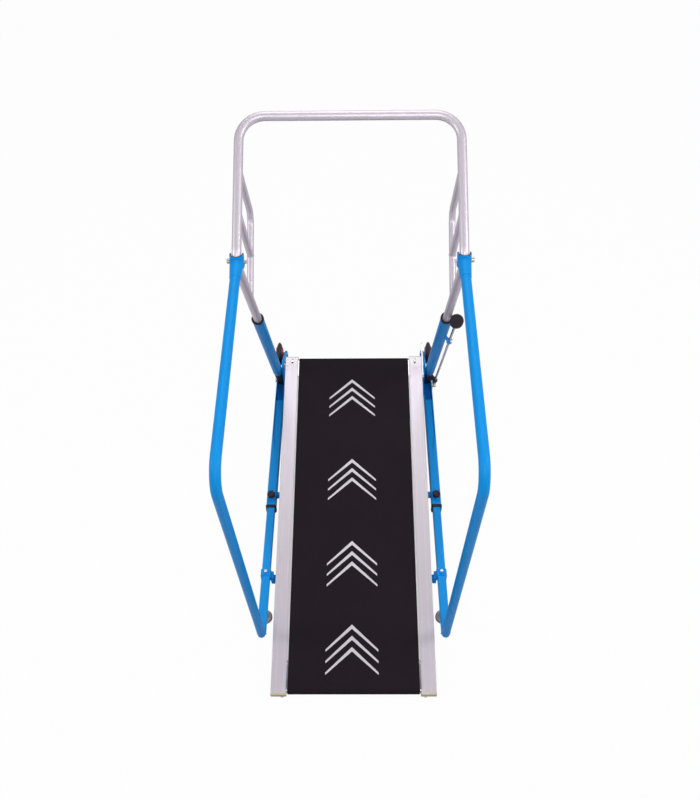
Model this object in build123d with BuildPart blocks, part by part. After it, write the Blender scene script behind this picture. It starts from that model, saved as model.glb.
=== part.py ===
from build123d import *
import os
from math import atan2, cos, degrees, radians, sin

# Pool treadmill in millimetres. +X is the walker's right, +Y is the way the walker faces and +Z is up.
# The origin is on the floor under the middle of the whole machine, in its symmetry plane.

# Walking deck
deck_length = 1180.0
deck_width = 490.0
deck_slope = 9.5
deck_rear_y = -653.0
rail_width = 46.0
rail_height = 27.0
rail_wall = 2.4
belt_width = 390.0
belt_thickness = 2.0
roller_radius = 14.5
roller_inset = 20.0
roller_drop = 11.5
roller_length = 384.0
axle_radius = 5.0
running_gap = 0.05
free_gap = 0.3

# Side frames: the plane of each frame and its corner points, as (Y, Z)
side_x = 277.5
foot_pivot = Vector(0, 567, 29)
rear_corner = Vector(0, -484, 74)
elbow_corner = Vector(0, -620, 1081)
upright_lean = 27.8
upright_length = 1244.0
handle_rise = 30.4
handle_reach = 383.0

# Tubes
rail_tube_radius = 12.5
silver_radius = 12.0
grip_radius = 9.0
sleeve_radius = 17.5
tube_wall = 1.6
side_tube_size = 26.0
channel_width = 32.0
channel_height = 34.0
channel_wall = 2.0
elbow_radius = 60.0
handle_bend_radius = 36.0
handle_corner_radius = 65.0
grip_bend_radius = 40.0
bar_radius = 11.0

# Places along the lower side tube, measured back from the foot pivot
channel_front = -26.0
channel_back = 592.0
slot_back = 360.0
knob_place = 560.0
middle_bar_place = 540.0
side_tube_front = 115.0
rest_bar_place = 849.0
rear_foot_place = 964.0

# Places along the upright, measured up from the foot pivot
sleeve_bottom = 140.0
sleeve_top = 786.0
silver_bottom = 536.0
hook_place = 625.0
rod_bottom = 20.0
rod_top = 838.0
spring_bottom = 58.0
spring_top = 88.0
rod_x = 300.5
rod_back = 25.0
rod_radius = 4.0

# Front bracket and wheel
bracket_x = 250.5
bracket_wall = 4.0
bracket_rim = 8.0
deck_pivot_place = 1155.0
wheel_centre = Vector(0, 609, 128)
wheel_radius = 45.0
wheel_width = 24.0
wheel_inner_x = 266.5

slope = radians(deck_slope)
deck_along = Vector(0, cos(slope), sin(slope))
deck_up = Vector(0, -sin(slope), cos(slope))
deck_rear = Vector(0, deck_rear_y, rail_height * cos(slope))
lower_along = (rear_corner - foot_pivot).normalized()
lower_length = (rear_corner - foot_pivot).length
lower_up = Vector(0, lower_along.Z, -lower_along.Y)
upright_along = Vector(0, -sin(radians(upright_lean)), cos(radians(upright_lean)))
upright_back = Vector(0, -upright_along.Z, upright_along.Y)
handle_along = Vector(0, cos(radians(handle_rise)), sin(radians(handle_rise)))
shoulder = foot_pivot + upright_along * upright_length
handle_top = shoulder + handle_along * handle_reach
right = Vector(1, 0, 0)
rail_x = deck_width / 2 - rail_width / 2
rail_inner_x = deck_width / 2 - rail_width


def on_deck(place, height=0.0, x=0.0):
    """Point on the deck: place runs from its rear end, height is above the rails' top."""
    return deck_rear + deck_along * place + deck_up * height + right * x


def on_lower(place, height=0.0, x=0.0):
    """Point on the axis of the lower side tubes, measured back from the foot pivot."""
    return foot_pivot + lower_along * place + lower_up * height + right * x


def on_upright(place, x=0.0):
    """Point on the axis of the uprights, measured up from the foot pivot."""
    return foot_pivot + upright_along * place + right * x


def deck_section(place):
    """Plane across the deck, +X right and +Y up, so an extrusion runs to the rear."""
    return Plane(origin=on_deck(place), x_dir=(1, 0, 0), z_dir=deck_along * -1)


def deck_side(x):
    """Plane along the deck, seen from the right, so an extrusion runs to the right."""
    return Plane(origin=on_deck(0, 0, x), x_dir=deck_along, z_dir=(1, 0, 0))


def lower_section(place, x=side_x):
    """Plane across a lower side tube, so an extrusion runs to the rear."""
    return Plane(origin=on_lower(place, 0, x), x_dir=(1, 0, 0), z_dir=lower_along)


def lower_top(place, height, x=side_x):
    """Plane on a lower side tube, +X right, so an extrusion rises from the tube."""
    return Plane(origin=on_lower(place, height, x), x_dir=(1, 0, 0), z_dir=lower_up)


def upright_section(place, x=side_x):
    """Plane across an upright, so an extrusion runs up it."""
    return Plane(origin=on_upright(place, x), x_dir=(1, 0, 0), z_dir=upright_along)


def rod_section(place):
    """Plane across the lock rod, which runs beside and behind the right upright."""
    return Plane(
        origin=on_upright(place, rod_x) + upright_back * rod_back, x_dir=(1, 0, 0), z_dir=upright_along
    )


def side_plane(x):
    """Upright plane with local X along +Y and local Y up, so an extrusion runs to the right."""
    return Plane(origin=(x, 0, 0), x_dir=(0, 1, 0), z_dir=(1, 0, 0))


def across(point, x):
    """Plane square to X through a point, moved to the given x."""
    return Plane(origin=(x, point.Y, point.Z), x_dir=(0, 1, 0), z_dir=(1, 0, 0))


def tube_on(path_points, radii, radius, wall):
    """Round bent tube along straight runs joined by arcs."""
    with BuildPart() as tube:
        with BuildLine() as path:
            FilletPolyline(*path_points, radius=radii)
        with BuildSketch(Plane(origin=path.line @ 0, z_dir=path.line % 0)):
            Circle(radius)
            if wall:
                Circle(radius - wall, mode=Mode.SUBTRACT)
        sweep(path=path.line)
    return tube.part


def on_both_sides(part):
    """The right-hand piece and its mirror image as one node of separate solids."""
    with BuildPart() as pair:
        add(part)
        mirror(part, about=Plane.YZ)
    return pair.part


def mirror_image(part):
    """The left-hand twin of a right-hand piece."""
    with BuildPart() as twin:
        mirror(part, about=Plane.YZ)
    return twin.part


pieces = {}

# Deck rails: extruded aluminium with two chambers and shallow grooves along the top
groove_width = 1.4
groove_depth = 0.7
rail_start = 5.0
rail_end = deck_length - 3.0
chamber_width = (rail_width - 3 * rail_wall) / 2
chamber_height = rail_height - 2 * rail_wall
chamber_offset = (chamber_width + rail_wall) / 2
pivot_point = on_deck(deck_pivot_place, -rail_height / 2)
with BuildPart() as rail_right:
    with BuildSketch(deck_section(rail_end)) as rail_profile:
        with Locations((rail_x, -rail_height / 2)):
            Rectangle(rail_width, rail_height)
        fillet(rail_profile.vertices(), 1.8)
        with Locations(
            (rail_x - chamber_offset, -rail_height / 2), (rail_x + chamber_offset, -rail_height / 2)
        ):
            RectangleRounded(chamber_width, chamber_height, 1.0, mode=Mode.SUBTRACT)
        with Locations((rail_x + 6, 0), (rail_x + 11, 0), (rail_x + 17, 0), (rail_x - 14, 0)):
            Rectangle(groove_width, 2 * groove_depth, mode=Mode.SUBTRACT)
        with Locations((rail_x + rail_width / 2, -9), (rail_x + rail_width / 2, -18)):
            Rectangle(2 * groove_depth, groove_width, mode=Mode.SUBTRACT)
    extrude(amount=rail_end - rail_start)
    with BuildSketch(across(pivot_point, deck_width / 2 - 5)):
        Circle(axle_radius + running_gap)
    extrude(amount=10, mode=Mode.SUBTRACT)
    with BuildSketch(Plane(origin=on_deck(rail_end - 16, 2, rail_x - 2), x_dir=(0, cos(slope), sin(slope)), z_dir=deck_up)):
        SlotOverall(20, 6.4)
    extrude(amount=-6, mode=Mode.SUBTRACT)
pieces["rail_right"] = rail_right.part
pieces["rail_left"] = mirror_image(rail_right.part)

# Rear end plugs, each a cap with two spigots pressed into the rail's chambers
plug_screw_radius = 3.0
plug_screw_drop = 19.0
with BuildPart() as rear_plug:
    with BuildSketch(deck_section(rail_start)):
        with Locations((rail_x, -rail_height / 2)):
            RectangleRounded(rail_width, rail_height, 1.6)
    extrude(amount=rail_start)
    with BuildSketch(deck_section(rail_start)):
        with Locations(
            (rail_x - chamber_offset, -rail_height / 2), (rail_x + chamber_offset, -rail_height / 2)
        ):
            RectangleRounded(chamber_width - 0.4, chamber_height - 0.4, 1.0)
    extrude(amount=-16)
    with BuildSketch(deck_section(rail_start + 16)):
        with Locations((rail_x - chamber_offset, -plug_screw_drop)):
            Circle(plug_screw_radius)
    extrude(amount=30, mode=Mode.SUBTRACT)
pieces["rear_end_plugs"] = on_both_sides(rear_plug.part)

with BuildPart() as plug_screw:
    with BuildSketch(deck_section(rail_start + 14)):
        with Locations((rail_x - chamber_offset, -plug_screw_drop)):
            Circle(plug_screw_radius - 0.1)
    extrude(amount=14 + rail_start)
    with BuildSketch(deck_section(0)):
        with Locations((rail_x - chamber_offset, -plug_screw_drop)):
            Circle(5)
    extrude(amount=3.2)
    fillet(plug_screw.edges().group_by(Axis.Y)[0], 1.2)
    with BuildSketch(deck_section(-3.2)):
        with Locations((rail_x - chamber_offset, -plug_screw_drop)):
            RegularPolygon(2.4, 6)
    extrude(amount=-2, mode=Mode.SUBTRACT)

with BuildPart() as front_plug:
    with BuildSketch(deck_section(deck_length)):
        with Locations((rail_x, -rail_height / 2)):
            RectangleRounded(rail_width, rail_height, 1.6)
    extrude(amount=deck_length - rail_end)
    with BuildSketch(deck_section(rail_end)):
        with Locations((rail_x - chamber_offset, -rail_height / 2)):
            RectangleRounded(chamber_width - 0.4, chamber_height - 0.4, 1.0)
    extrude(amount=8)
pieces["front_end_plugs"] = on_both_sides(front_plug.part)

with BuildPart() as rail_screw:
    with BuildSketch(Plane(origin=on_deck(rail_end - 16, -rail_wall, rail_x - 2), x_dir=(1, 0, 0), z_dir=deck_up)):
        Circle(2.8)
    extrude(amount=rail_wall)
    with BuildSketch(Plane(origin=on_deck(rail_end - 16, 0, rail_x - 2), x_dir=(1, 0, 0), z_dir=deck_up)):
        Circle(5.2)
    extrude(amount=2.4)
    fillet(rail_screw.edges().group_by(Axis.Z)[-1], 1.0)
with BuildPart() as deck_screws:
    add(on_both_sides(plug_screw.part))
    add(on_both_sides(rail_screw.part))
pieces["deck_screws"] = deck_screws.part

# Slide board under the belt and the hollow cross members that hold the rails apart
board_start = 46.0
board_thickness = 10.0
board_top = roller_radius - roller_drop
plate_thickness = 3.2
plate_height = 20.0
plate_spans = ((6, 98, roller_inset), (1090, 1174, deck_length - roller_inset))
with BuildPart() as deck_board:
    with BuildSketch(deck_section(deck_length - board_start)):
        with Locations((0, board_top - board_thickness / 2)):
            Rectangle(2 * rail_inner_x, board_thickness)
    extrude(amount=deck_length - 2 * board_start)
    for x in (-rail_inner_x, rail_inner_x - plate_thickness - free_gap):
        with BuildSketch(deck_side(x)):
            for low, high, place in plate_spans:
                with Locations(((low + high) / 2, -roller_drop)):
                    Rectangle(high - low + 2, 2 * plate_height)
        extrude(amount=plate_thickness + free_gap, mode=Mode.SUBTRACT)
pieces["deck_board"] = deck_board.part

member_height = 14.0
member_length = 40.0
member_wall = 2.2
with BuildPart() as cross_members:
    with BuildSketch(deck_side(-rail_inner_x)):
        with Locations(
            *[(place, board_top - board_thickness - member_height / 2) for place in (190, 590, 990)]
        ):
            RectangleRounded(member_length, member_height, 1.5)
            RectangleRounded(
                member_length - 2 * member_wall, member_height - 2 * member_wall, 0.8, mode=Mode.SUBTRACT
            )
    extrude(amount=2 * rail_inner_x)
pieces["cross_members"] = cross_members.part

# Endless belt round both rollers, with its rollers, bearings, axles and axle plates
belt_outer = roller_radius + free_gap + belt_thickness
roller_places = {"rear": roller_inset, "front": deck_length - roller_inset}
with BuildPart() as belt:
    with BuildSketch(deck_side(-belt_width / 2)):
        with Locations((deck_length / 2, -roller_drop)):
            SlotCenterToCenter(deck_length - 2 * roller_inset, 2 * belt_outer)
            SlotCenterToCenter(
                deck_length - 2 * roller_inset, 2 * (roller_radius + free_gap), mode=Mode.SUBTRACT
            )
    extrude(amount=belt_width)
pieces["belt"] = belt.part

roller_bore = 11.5
bearing_width = 9.0
for name, place in roller_places.items():
    centre = on_deck(place, -roller_drop)
    with BuildPart() as roller:
        with BuildSketch(across(centre, -roller_length / 2)):
            Circle(roller_radius)
            Circle(roller_bore, mode=Mode.SUBTRACT)
        extrude(amount=roller_length)
        chamfer(roller.edges().group_by(Axis.X)[0] + roller.edges().group_by(Axis.X)[-1], 0.8)
    pieces[f"{name}_roller"] = roller.part
    with BuildPart() as bearing:
        with BuildSketch(across(centre, roller_length / 2 - bearing_width)):
            Circle(roller_bore)
            Circle(axle_radius + running_gap, mode=Mode.SUBTRACT)
        extrude(amount=bearing_width)
    pieces[f"{name}_roller_bearings"] = on_both_sides(bearing.part)

with BuildPart() as roller_axles:
    for place in roller_places.values():
        with BuildSketch(across(on_deck(place, -roller_drop), -rail_inner_x)):
            Circle(axle_radius)
        extrude(amount=2 * rail_inner_x)
pieces["roller_axles"] = roller_axles.part

with BuildPart() as axle_plates:
    for low, high, place in plate_spans:
        with BuildSketch(deck_side(rail_inner_x - plate_thickness)):
            with Locations(((low + high) / 2, -roller_drop)):
                SlotOverall(high - low, plate_height)
            with Locations((place, -roller_drop)):
                Circle(axle_radius, mode=Mode.SUBTRACT)
        extrude(amount=plate_thickness)
pieces["axle_plates"] = on_both_sides(axle_plates.part)

# Flat steel catch bar on the right rail: it stands past the rail's front end
catch_bar_gap = 0.5
catch_bar_thickness = 3.0
with BuildPart() as catch_bar:
    with BuildSketch(deck_side(deck_width / 2 + catch_bar_gap)):
        with Locations((1168, -8.5)):
            SlotOverall(150, 15)
        with Locations((deck_pivot_place, -rail_height / 2)):
            Circle(axle_radius + 0.4, mode=Mode.SUBTRACT)
        with Locations((1232, -8.5)):
            Circle(2.6, mode=Mode.SUBTRACT)
    extrude(amount=catch_bar_thickness)
    with BuildSketch(deck_side(deck_width / 2)):
        with Locations((1105, -8.5), (1120, -8.5)):
            Circle(3)
    extrude(amount=catch_bar_gap)
pieces["catch_bar"] = catch_bar.part

# Lower channels: rectangular sleeves, open on top at the front so that the upright's foot can tilt
with BuildPart() as channel_right:
    with BuildSketch(lower_section(channel_front)):
        RectangleRounded(channel_width, channel_height, 3.5)
        RectangleRounded(
            channel_width - 2 * channel_wall, channel_height - 2 * channel_wall, 1.6, mode=Mode.SUBTRACT
        )
    extrude(amount=channel_back - channel_front)
    with BuildSketch(lower_section(channel_front - 5)):
        with Locations((0, channel_height / 2)):
            Rectangle(channel_width - 2 * channel_wall - 2, 8)
    extrude(amount=slot_back - channel_front - 60, mode=Mode.SUBTRACT)
    with BuildSketch(lower_top(slot_back - 75, channel_height / 2 - 5)):
        Triangle(a=channel_width - 2 * channel_wall - 2, b=80, c=80, align=(Align.CENTER, Align.MIN), rotation=180)
    extrude(amount=10, mode=Mode.SUBTRACT)
    with BuildSketch(across(foot_pivot, side_x - channel_width)):
        Circle(6)
    extrude(amount=2 * channel_width, mode=Mode.SUBTRACT)
    with BuildSketch(lower_top(knob_place, 0)):
        Circle(4.4)
    extrude(amount=channel_height, mode=Mode.SUBTRACT)
    with BuildSketch(lower_top(knob_place, channel_height / 2)):
        Circle(8.5)
        Circle(4.4, mode=Mode.SUBTRACT)
    extrude(amount=7)
pieces["lower_channel_right"] = channel_right.part
pieces["lower_channel_left"] = mirror_image(channel_right.part)

# Black collar that caps the channel's rear end and guides the side tube
collar_lip = 12.0
with BuildPart() as channel_collar:
    with BuildSketch(lower_section(channel_back - 8)):
        RectangleRounded(channel_width + 5, channel_height + 5, 5)
        RectangleRounded(channel_width, channel_height, 3.5, mode=Mode.SUBTRACT)
    extrude(amount=8)
    with BuildSketch(lower_section(channel_back)):
        RectangleRounded(channel_width + 5, channel_height + 5, 5)
        RectangleRounded(
            side_tube_size + 2 * free_gap, side_tube_size + 2 * free_gap, 3.2, mode=Mode.SUBTRACT
        )
    extrude(amount=collar_lip)
pieces["channel_collars"] = on_both_sides(channel_collar.part)

# Clamp knobs: seven lobes on a threaded stem that presses on the side tube
knob_bottom = channel_height / 2 + 9
knob_height = 13.0
knob_radius = 10.5
lobe_count = 7
with BuildPart() as knob_right:
    with BuildSketch(lower_top(knob_place, knob_bottom)):
        Circle(knob_radius)
        with PolarLocations(knob_radius, lobe_count):
            Circle(3.1)
    extrude(amount=knob_height)
    fillet(knob_right.faces().sort_by(Axis.Z)[-1].edges(), 1.2)
    with BuildSketch(lower_top(knob_place, side_tube_size / 2 + 0.5)):
        Circle(4)
    extrude(amount=knob_bottom - side_tube_size / 2 - 0.5)
    with BuildSketch(lower_top(knob_place, channel_height / 2 + 7.4)):
        Circle(6.5)
    extrude(amount=knob_bottom - channel_height / 2 - 7.4)
pieces["clamp_knob_right"] = knob_right.part
pieces["clamp_knob_left"] = mirror_image(knob_right.part)

# Cross tubes of the base, under the deck
middle_bar_point = on_lower(middle_bar_place)
front_bar_point = Vector(0, 542, 62)
channel_inner_x = side_x - channel_width / 2
with BuildPart() as base_cross_tubes:
    for point, end_x, radius in (
        (middle_bar_point, channel_inner_x, bar_radius),
        (front_bar_point, bracket_x, rail_tube_radius),
    ):
        with BuildSketch(across(point, -end_x)):
            Circle(radius)
            Circle(radius - tube_wall, mode=Mode.SUBTRACT)
        extrude(amount=2 * end_x)
pieces["base_cross_tubes"] = base_cross_tubes.part

# Front brackets: pressed plates with a rim, holding the deck pivot, the wheel axle and the channel
bracket_corners = (
    (foot_pivot, 17.0),
    (on_lower(58), 16.0),
    (wheel_centre, 14.0),
    (pivot_point, 13.5),
)
rim_floor = 56.0
with BuildPart() as bracket_right:
    with BuildSketch(side_plane(bracket_x)):
        for centre, radius in bracket_corners:
            with Locations((centre.Y, centre.Z)):
                Circle(radius)
        make_hull()
    extrude(amount=bracket_wall)
    with BuildSketch(side_plane(bracket_x + bracket_wall)) as bracket_rim_profile:
        for centre, radius in bracket_corners:
            with Locations((centre.Y, centre.Z)):
                Circle(radius)
        make_hull()
        offset(amount=-3.2, mode=Mode.SUBTRACT)
        with Locations((foot_pivot.Y, rim_floor - 50)):
            Rectangle(300, 100, mode=Mode.SUBTRACT)
    extrude(amount=bracket_rim - bracket_wall)
    with BuildSketch(side_plane(bracket_x + bracket_wall)):
        for centre in (foot_pivot, on_lower(58)):
            with Locations((centre.Y, centre.Z)):
                Circle(11)
    extrude(amount=channel_inner_x - bracket_x - bracket_wall)
    with BuildSketch(across(wheel_centre, bracket_x + bracket_wall)):
        Circle(9)
    extrude(amount=wheel_inner_x - 1 - bracket_x - bracket_wall)
    with BuildSketch(across(foot_pivot, bracket_x)):
        Circle(6)
    extrude(amount=20, mode=Mode.SUBTRACT)
    with BuildSketch(across(wheel_centre, bracket_x)):
        Circle(axle_radius)
    extrude(amount=30, mode=Mode.SUBTRACT)
    with BuildSketch(across(pivot_point, bracket_x)):
        Circle(axle_radius)
    extrude(amount=20, mode=Mode.SUBTRACT)
    with BuildSketch(side_plane(bracket_x)):
        with Locations((575, 78)):
            Circle(12)
    extrude(amount=bracket_wall, mode=Mode.SUBTRACT)
pieces["front_bracket_right"] = bracket_right.part
pieces["front_bracket_left"] = mirror_image(bracket_right.part)

# Pivot bolts of the deck, the uprights' feet and the wheels
with BuildPart() as deck_bolt:
    with BuildSketch(across(pivot_point, deck_width / 2 - 9)):
        Circle(axle_radius)
    extrude(amount=bracket_x + bracket_wall - deck_width / 2 + 9)
    with BuildSketch(across(pivot_point, bracket_x + bracket_wall)):
        RegularPolygon(8, 6)
    extrude(amount=4.6)
pieces["deck_pivot_bolts"] = on_both_sides(deck_bolt.part)

channel_outer_x = side_x + channel_width / 2
with BuildPart() as foot_bolt:
    with BuildSketch(across(foot_pivot, bracket_x)):
        Circle(6)
    extrude(amount=channel_outer_x - bracket_x)
    with BuildSketch(across(foot_pivot, channel_outer_x)):
        RegularPolygon(9, 6)
    extrude(amount=5.5)
    with BuildSketch(across(foot_pivot, bracket_x - 3)):
        Circle(9)
    extrude(amount=3)
pieces["foot_pivot_bolts"] = on_both_sides(foot_bolt.part)

wheel_outer_x = wheel_inner_x + wheel_width
with BuildPart() as wheel_bolt:
    with BuildSketch(across(wheel_centre, bracket_x)):
        Circle(axle_radius)
    extrude(amount=wheel_outer_x + 1 - bracket_x)
    with BuildSketch(across(wheel_centre, wheel_outer_x + 1)):
        Circle(8)
    extrude(amount=5)
    fillet(wheel_bolt.faces().sort_by(Axis.X)[-1].edges(), 2.5)
    with BuildSketch(across(wheel_centre, bracket_x - 3)):
        Circle(8.5)
    extrude(amount=3)
pieces["wheel_axle_bolts"] = on_both_sides(wheel_bolt.part)

# Wheels: a crowned tyre on a webbed hub, made by turning a half section about the axle
hub_radius = 27.0
crown_height = 13.0
wheel_axis = Axis((0, wheel_centre.Y, wheel_centre.Z), (1, 0, 0))
wheel_middle_x = wheel_inner_x + wheel_width / 2
wheel_plane = Plane(origin=(wheel_middle_x, wheel_centre.Y, wheel_centre.Z), x_dir=(1, 0, 0), z_dir=(0, -1, 0))
with BuildPart() as tyre:
    with BuildSketch(wheel_plane):
        with BuildLine():
            shoulder_left = (-wheel_width / 2, wheel_radius - crown_height)
            shoulder_right = (wheel_width / 2, wheel_radius - crown_height)
            Polyline(shoulder_left, (-wheel_width / 2, hub_radius), (wheel_width / 2, hub_radius), shoulder_right)
            ThreePointArc(shoulder_right, (0, wheel_radius), shoulder_left)
        make_face()
    revolve(axis=wheel_axis)
pieces["wheel_tyre_right"] = tyre.part
pieces["wheel_tyre_left"] = mirror_image(tyre.part)

with BuildPart() as hub:
    with BuildSketch(wheel_plane):
        with Locations((0, (hub_radius + hub_radius - 5) / 2)):
            Rectangle(wheel_width, 5)
        with Locations((0, (hub_radius + axle_radius) / 2)):
            Rectangle(5, hub_radius - axle_radius - 2)
        with Locations((0, (axle_radius + running_gap + 11) / 2)):
            Rectangle(wheel_width, 11 - axle_radius - running_gap)
    revolve(axis=wheel_axis)
    with BuildSketch(across(wheel_centre, wheel_inner_x)):
        with PolarLocations(16.5, 5):
            Circle(3.6)
    extrude(amount=wheel_width, mode=Mode.SUBTRACT)
pieces["wheel_hub_right"] = hub.part
pieces["wheel_hub_left"] = mirror_image(hub.part)

# Front rubber feet under the channels
front_foot_y = 540.0
with BuildPart() as front_foot:
    with BuildSketch(Plane.XY):
        with Locations((side_x, front_foot_y)):
            RectangleRounded(channel_width + 4, 60, 8)
    extrude(amount=24)
    with BuildSketch(lower_section(channel_front - 60)):
        Rectangle(channel_width, channel_height)
    extrude(amount=200, mode=Mode.SUBTRACT)
    with BuildSketch(Plane.XY.offset(foot_pivot.Z)):
        with Locations((side_x, front_foot_y)):
            Rectangle(100, 100)
    extrude(amount=-14.5, mode=Mode.SUBTRACT)
pieces["front_feet"] = on_both_sides(front_foot.part)

# Catch plate for the lock rod's tip, on the outside of the right channel
rod_tip = rod_section(rod_bottom).origin
with BuildPart() as rod_catch:
    with BuildSketch(Plane(origin=(0, 0, rod_tip.Z + 2))):
        with Locations((channel_outer_x + 8, rod_tip.Y)):
            RectangleRounded(16, 28, 3)
        with Locations((rod_x, rod_tip.Y - 2.3)):
            SlotOverall(17, 11, rotation=90, mode=Mode.SUBTRACT)
    extrude(amount=5)
    with BuildSketch(side_plane(channel_outer_x)):
        with Locations((rod_tip.Y, rod_tip.Z - 2)):
            Rectangle(28, 13)
    extrude(amount=3)
pieces["rod_catch"] = rod_catch.part

# Uprights: a black foot block that turns on the pivot bolt, the blue sleeve and its black collar
foot_block_width = channel_width - 2 * channel_wall - 3
foot_block_depth = 32.0
with BuildPart() as foot_block:
    with BuildSketch(upright_section(0)):
        RectangleRounded(foot_block_width, foot_block_depth, 5)
    extrude(amount=sleeve_bottom)
    chamfer(foot_block.edges().group_by(Axis.Z)[-1], 1.5)
    with BuildSketch(upright_section(sleeve_bottom - 2)):
        Circle(sleeve_radius - tube_wall)
    extrude(amount=36)
    with BuildSketch(across(foot_pivot, side_x - foot_block_width / 2)):
        Circle(13.6)
    extrude(amount=foot_block_width)
    with BuildSketch(across(foot_pivot, side_x - foot_block_width / 2)):
        Circle(6 + running_gap)
    extrude(amount=foot_block_width, mode=Mode.SUBTRACT)
pieces["foot_blocks"] = on_both_sides(foot_block.part)

with BuildPart() as sleeve_right:
    with BuildSketch(upright_section(sleeve_bottom)):
        Circle(sleeve_radius)
        Circle(sleeve_radius - tube_wall, mode=Mode.SUBTRACT)
    extrude(amount=sleeve_top - sleeve_bottom)
pieces["upright_sleeve_right"] = sleeve_right.part
pieces["upright_sleeve_left"] = mirror_image(sleeve_right.part)

with BuildPart() as sleeve_collar:
    with BuildSketch(upright_section(sleeve_top)):
        Circle(sleeve_radius + 1)
        Circle(silver_radius + free_gap, mode=Mode.SUBTRACT)
    extrude(amount=6)
    with BuildSketch(upright_section(sleeve_top)):
        Circle(sleeve_radius - tube_wall)
        Circle(silver_radius + free_gap, mode=Mode.SUBTRACT)
    extrude(amount=-30)
    fillet(sleeve_collar.edges().group_by(Axis.Z)[-1], 1.0)
pieces["sleeve_collars"] = on_both_sides(sleeve_collar.part)

# Lock rod on the right upright: guide hook, lower guide, rod, knob, return spring and nuts
hook_thickness = 9.0
rod_offset = Vector(side_x - rod_x, rod_back)
rod_lug = Location((rod_offset.X / 2, rod_offset.Y / 2), degrees(atan2(rod_offset.Y, rod_offset.X)))
with BuildPart() as rod_hook:
    with BuildSketch(rod_section(hook_place)):
        Circle(9.5)
        with Locations(rod_lug):
            Rectangle(rod_offset.length, 9)
        Circle(5.2, mode=Mode.SUBTRACT)
        with Locations((8, -1)):
            Rectangle(9, 7, mode=Mode.SUBTRACT)
    extrude(amount=hook_thickness)
    with BuildSketch(upright_section(hook_place - 5)):
        Circle(sleeve_radius)
    extrude(amount=hook_thickness + 10, mode=Mode.SUBTRACT)
pieces["rod_hook"] = rod_hook.part

with BuildPart() as rod_guide:
    with BuildSketch(rod_section(spring_top)):
        Circle(9)
        with Locations(rod_lug):
            Rectangle(rod_offset.length, 14)
        Circle(rod_radius + free_gap, mode=Mode.SUBTRACT)
    extrude(amount=14)
    with BuildSketch(upright_section(spring_top - 20)):
        RectangleRounded(foot_block_width, foot_block_depth, 5)
    extrude(amount=50, mode=Mode.SUBTRACT)
pieces["rod_guide"] = rod_guide.part

with BuildPart() as lock_rod:
    with BuildSketch(rod_section(rod_bottom)):
        Circle(rod_radius)
    extrude(amount=rod_top - rod_bottom)
    chamfer(lock_rod.edges().group_by(Axis.Z)[0], 1.5)
pieces["lock_rod"] = lock_rod.part

with BuildPart() as rod_nuts:
    for place in (spring_bottom - 6.5, spring_bottom - 13.5):
        with BuildSketch(rod_section(place)):
            RegularPolygon(7, 6)
            Circle(rod_radius, mode=Mode.SUBTRACT)
        extrude(amount=6)
pieces["rod_nuts"] = rod_nuts.part

knob_disc_radius = 20.0
with BuildPart() as rod_knob:
    with BuildSketch(rod_section(rod_top - 22)):
        Circle(8)
        Circle(rod_radius, mode=Mode.SUBTRACT)
    extrude(amount=14)
    with BuildSketch(rod_section(rod_top - 8)):
        Circle(knob_disc_radius)
        Circle(rod_radius, mode=Mode.SUBTRACT)
    extrude(amount=8)
    with BuildSketch(rod_section(rod_top)):
        Circle(knob_disc_radius)
    extrude(amount=9)
    fillet(rod_knob.edges().filter_by(GeomType.CIRCLE).group_by(Axis.Z)[-1], 2.5)
pieces["rod_knob"] = rod_knob.part

spring_turns = 6
spring_wire = 1.1
coil_radius = rod_radius + 2.2
coil_rise = spring_top - spring_bottom - 2 * spring_wire - 2 * free_gap
coil_plane = rod_section(spring_bottom + spring_wire + free_gap)


def coil_point(quarter):
    """Point on the spring's wire after a number of quarter turns."""
    turn = radians(90 * quarter)
    rise = coil_rise * quarter / (4 * spring_turns)
    return coil_plane.from_local_coords(Vector(coil_radius * cos(turn), coil_radius * sin(turn), rise))


def coil_way(quarter):
    """Direction of the spring's wire after a number of quarter turns."""
    turn = radians(90 * quarter)
    climb = coil_rise / (2 * radians(180) * spring_turns)
    way = Vector(-coil_radius * sin(turn), coil_radius * cos(turn), climb)
    return (coil_plane.from_local_coords(way) - coil_plane.origin).normalized()


with BuildPart() as rod_spring:
    with BuildLine() as coil:
        for quarter in range(4 * spring_turns):
            start, end = coil_point(quarter), coil_point(quarter + 1)
            start_way, end_way = coil_way(quarter), coil_way(quarter + 1)
            chord = end - start
            lean = chord.dot(start_way + end_way)
            bend = 2 * (1 - start_way.dot(end_way))
            reach = ((lean**2 + bend * chord.dot(chord)) ** 0.5 - lean) / bend
            start_guide = start + start_way * reach
            end_guide = end - end_way * reach
            joint = (start_guide + end_guide) * 0.5
            TangentArc(start, joint, tangent=start_way)
            TangentArc(joint, end, tangent=(end_guide - start_guide).normalized())
    with BuildSketch(Plane(origin=coil_point(0), z_dir=coil_way(0))):
        Circle(spring_wire)
    sweep(path=coil.wire())
pieces["rod_spring"] = rod_spring.part

turn_points = 24
coil_steps = turn_points * spring_turns
coil_wire = coil.wire()
coil_points = [coil_wire @ (step / coil_steps) for step in range(coil_steps + 1)]
least_gap = min(
    (first - second).length
    for place, first in enumerate(coil_points)
    for second in coil_points[place + turn_points // 2 :]
)
print("least gap between the spring's turns", round(least_gap - 2 * spring_wire, 3))

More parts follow.
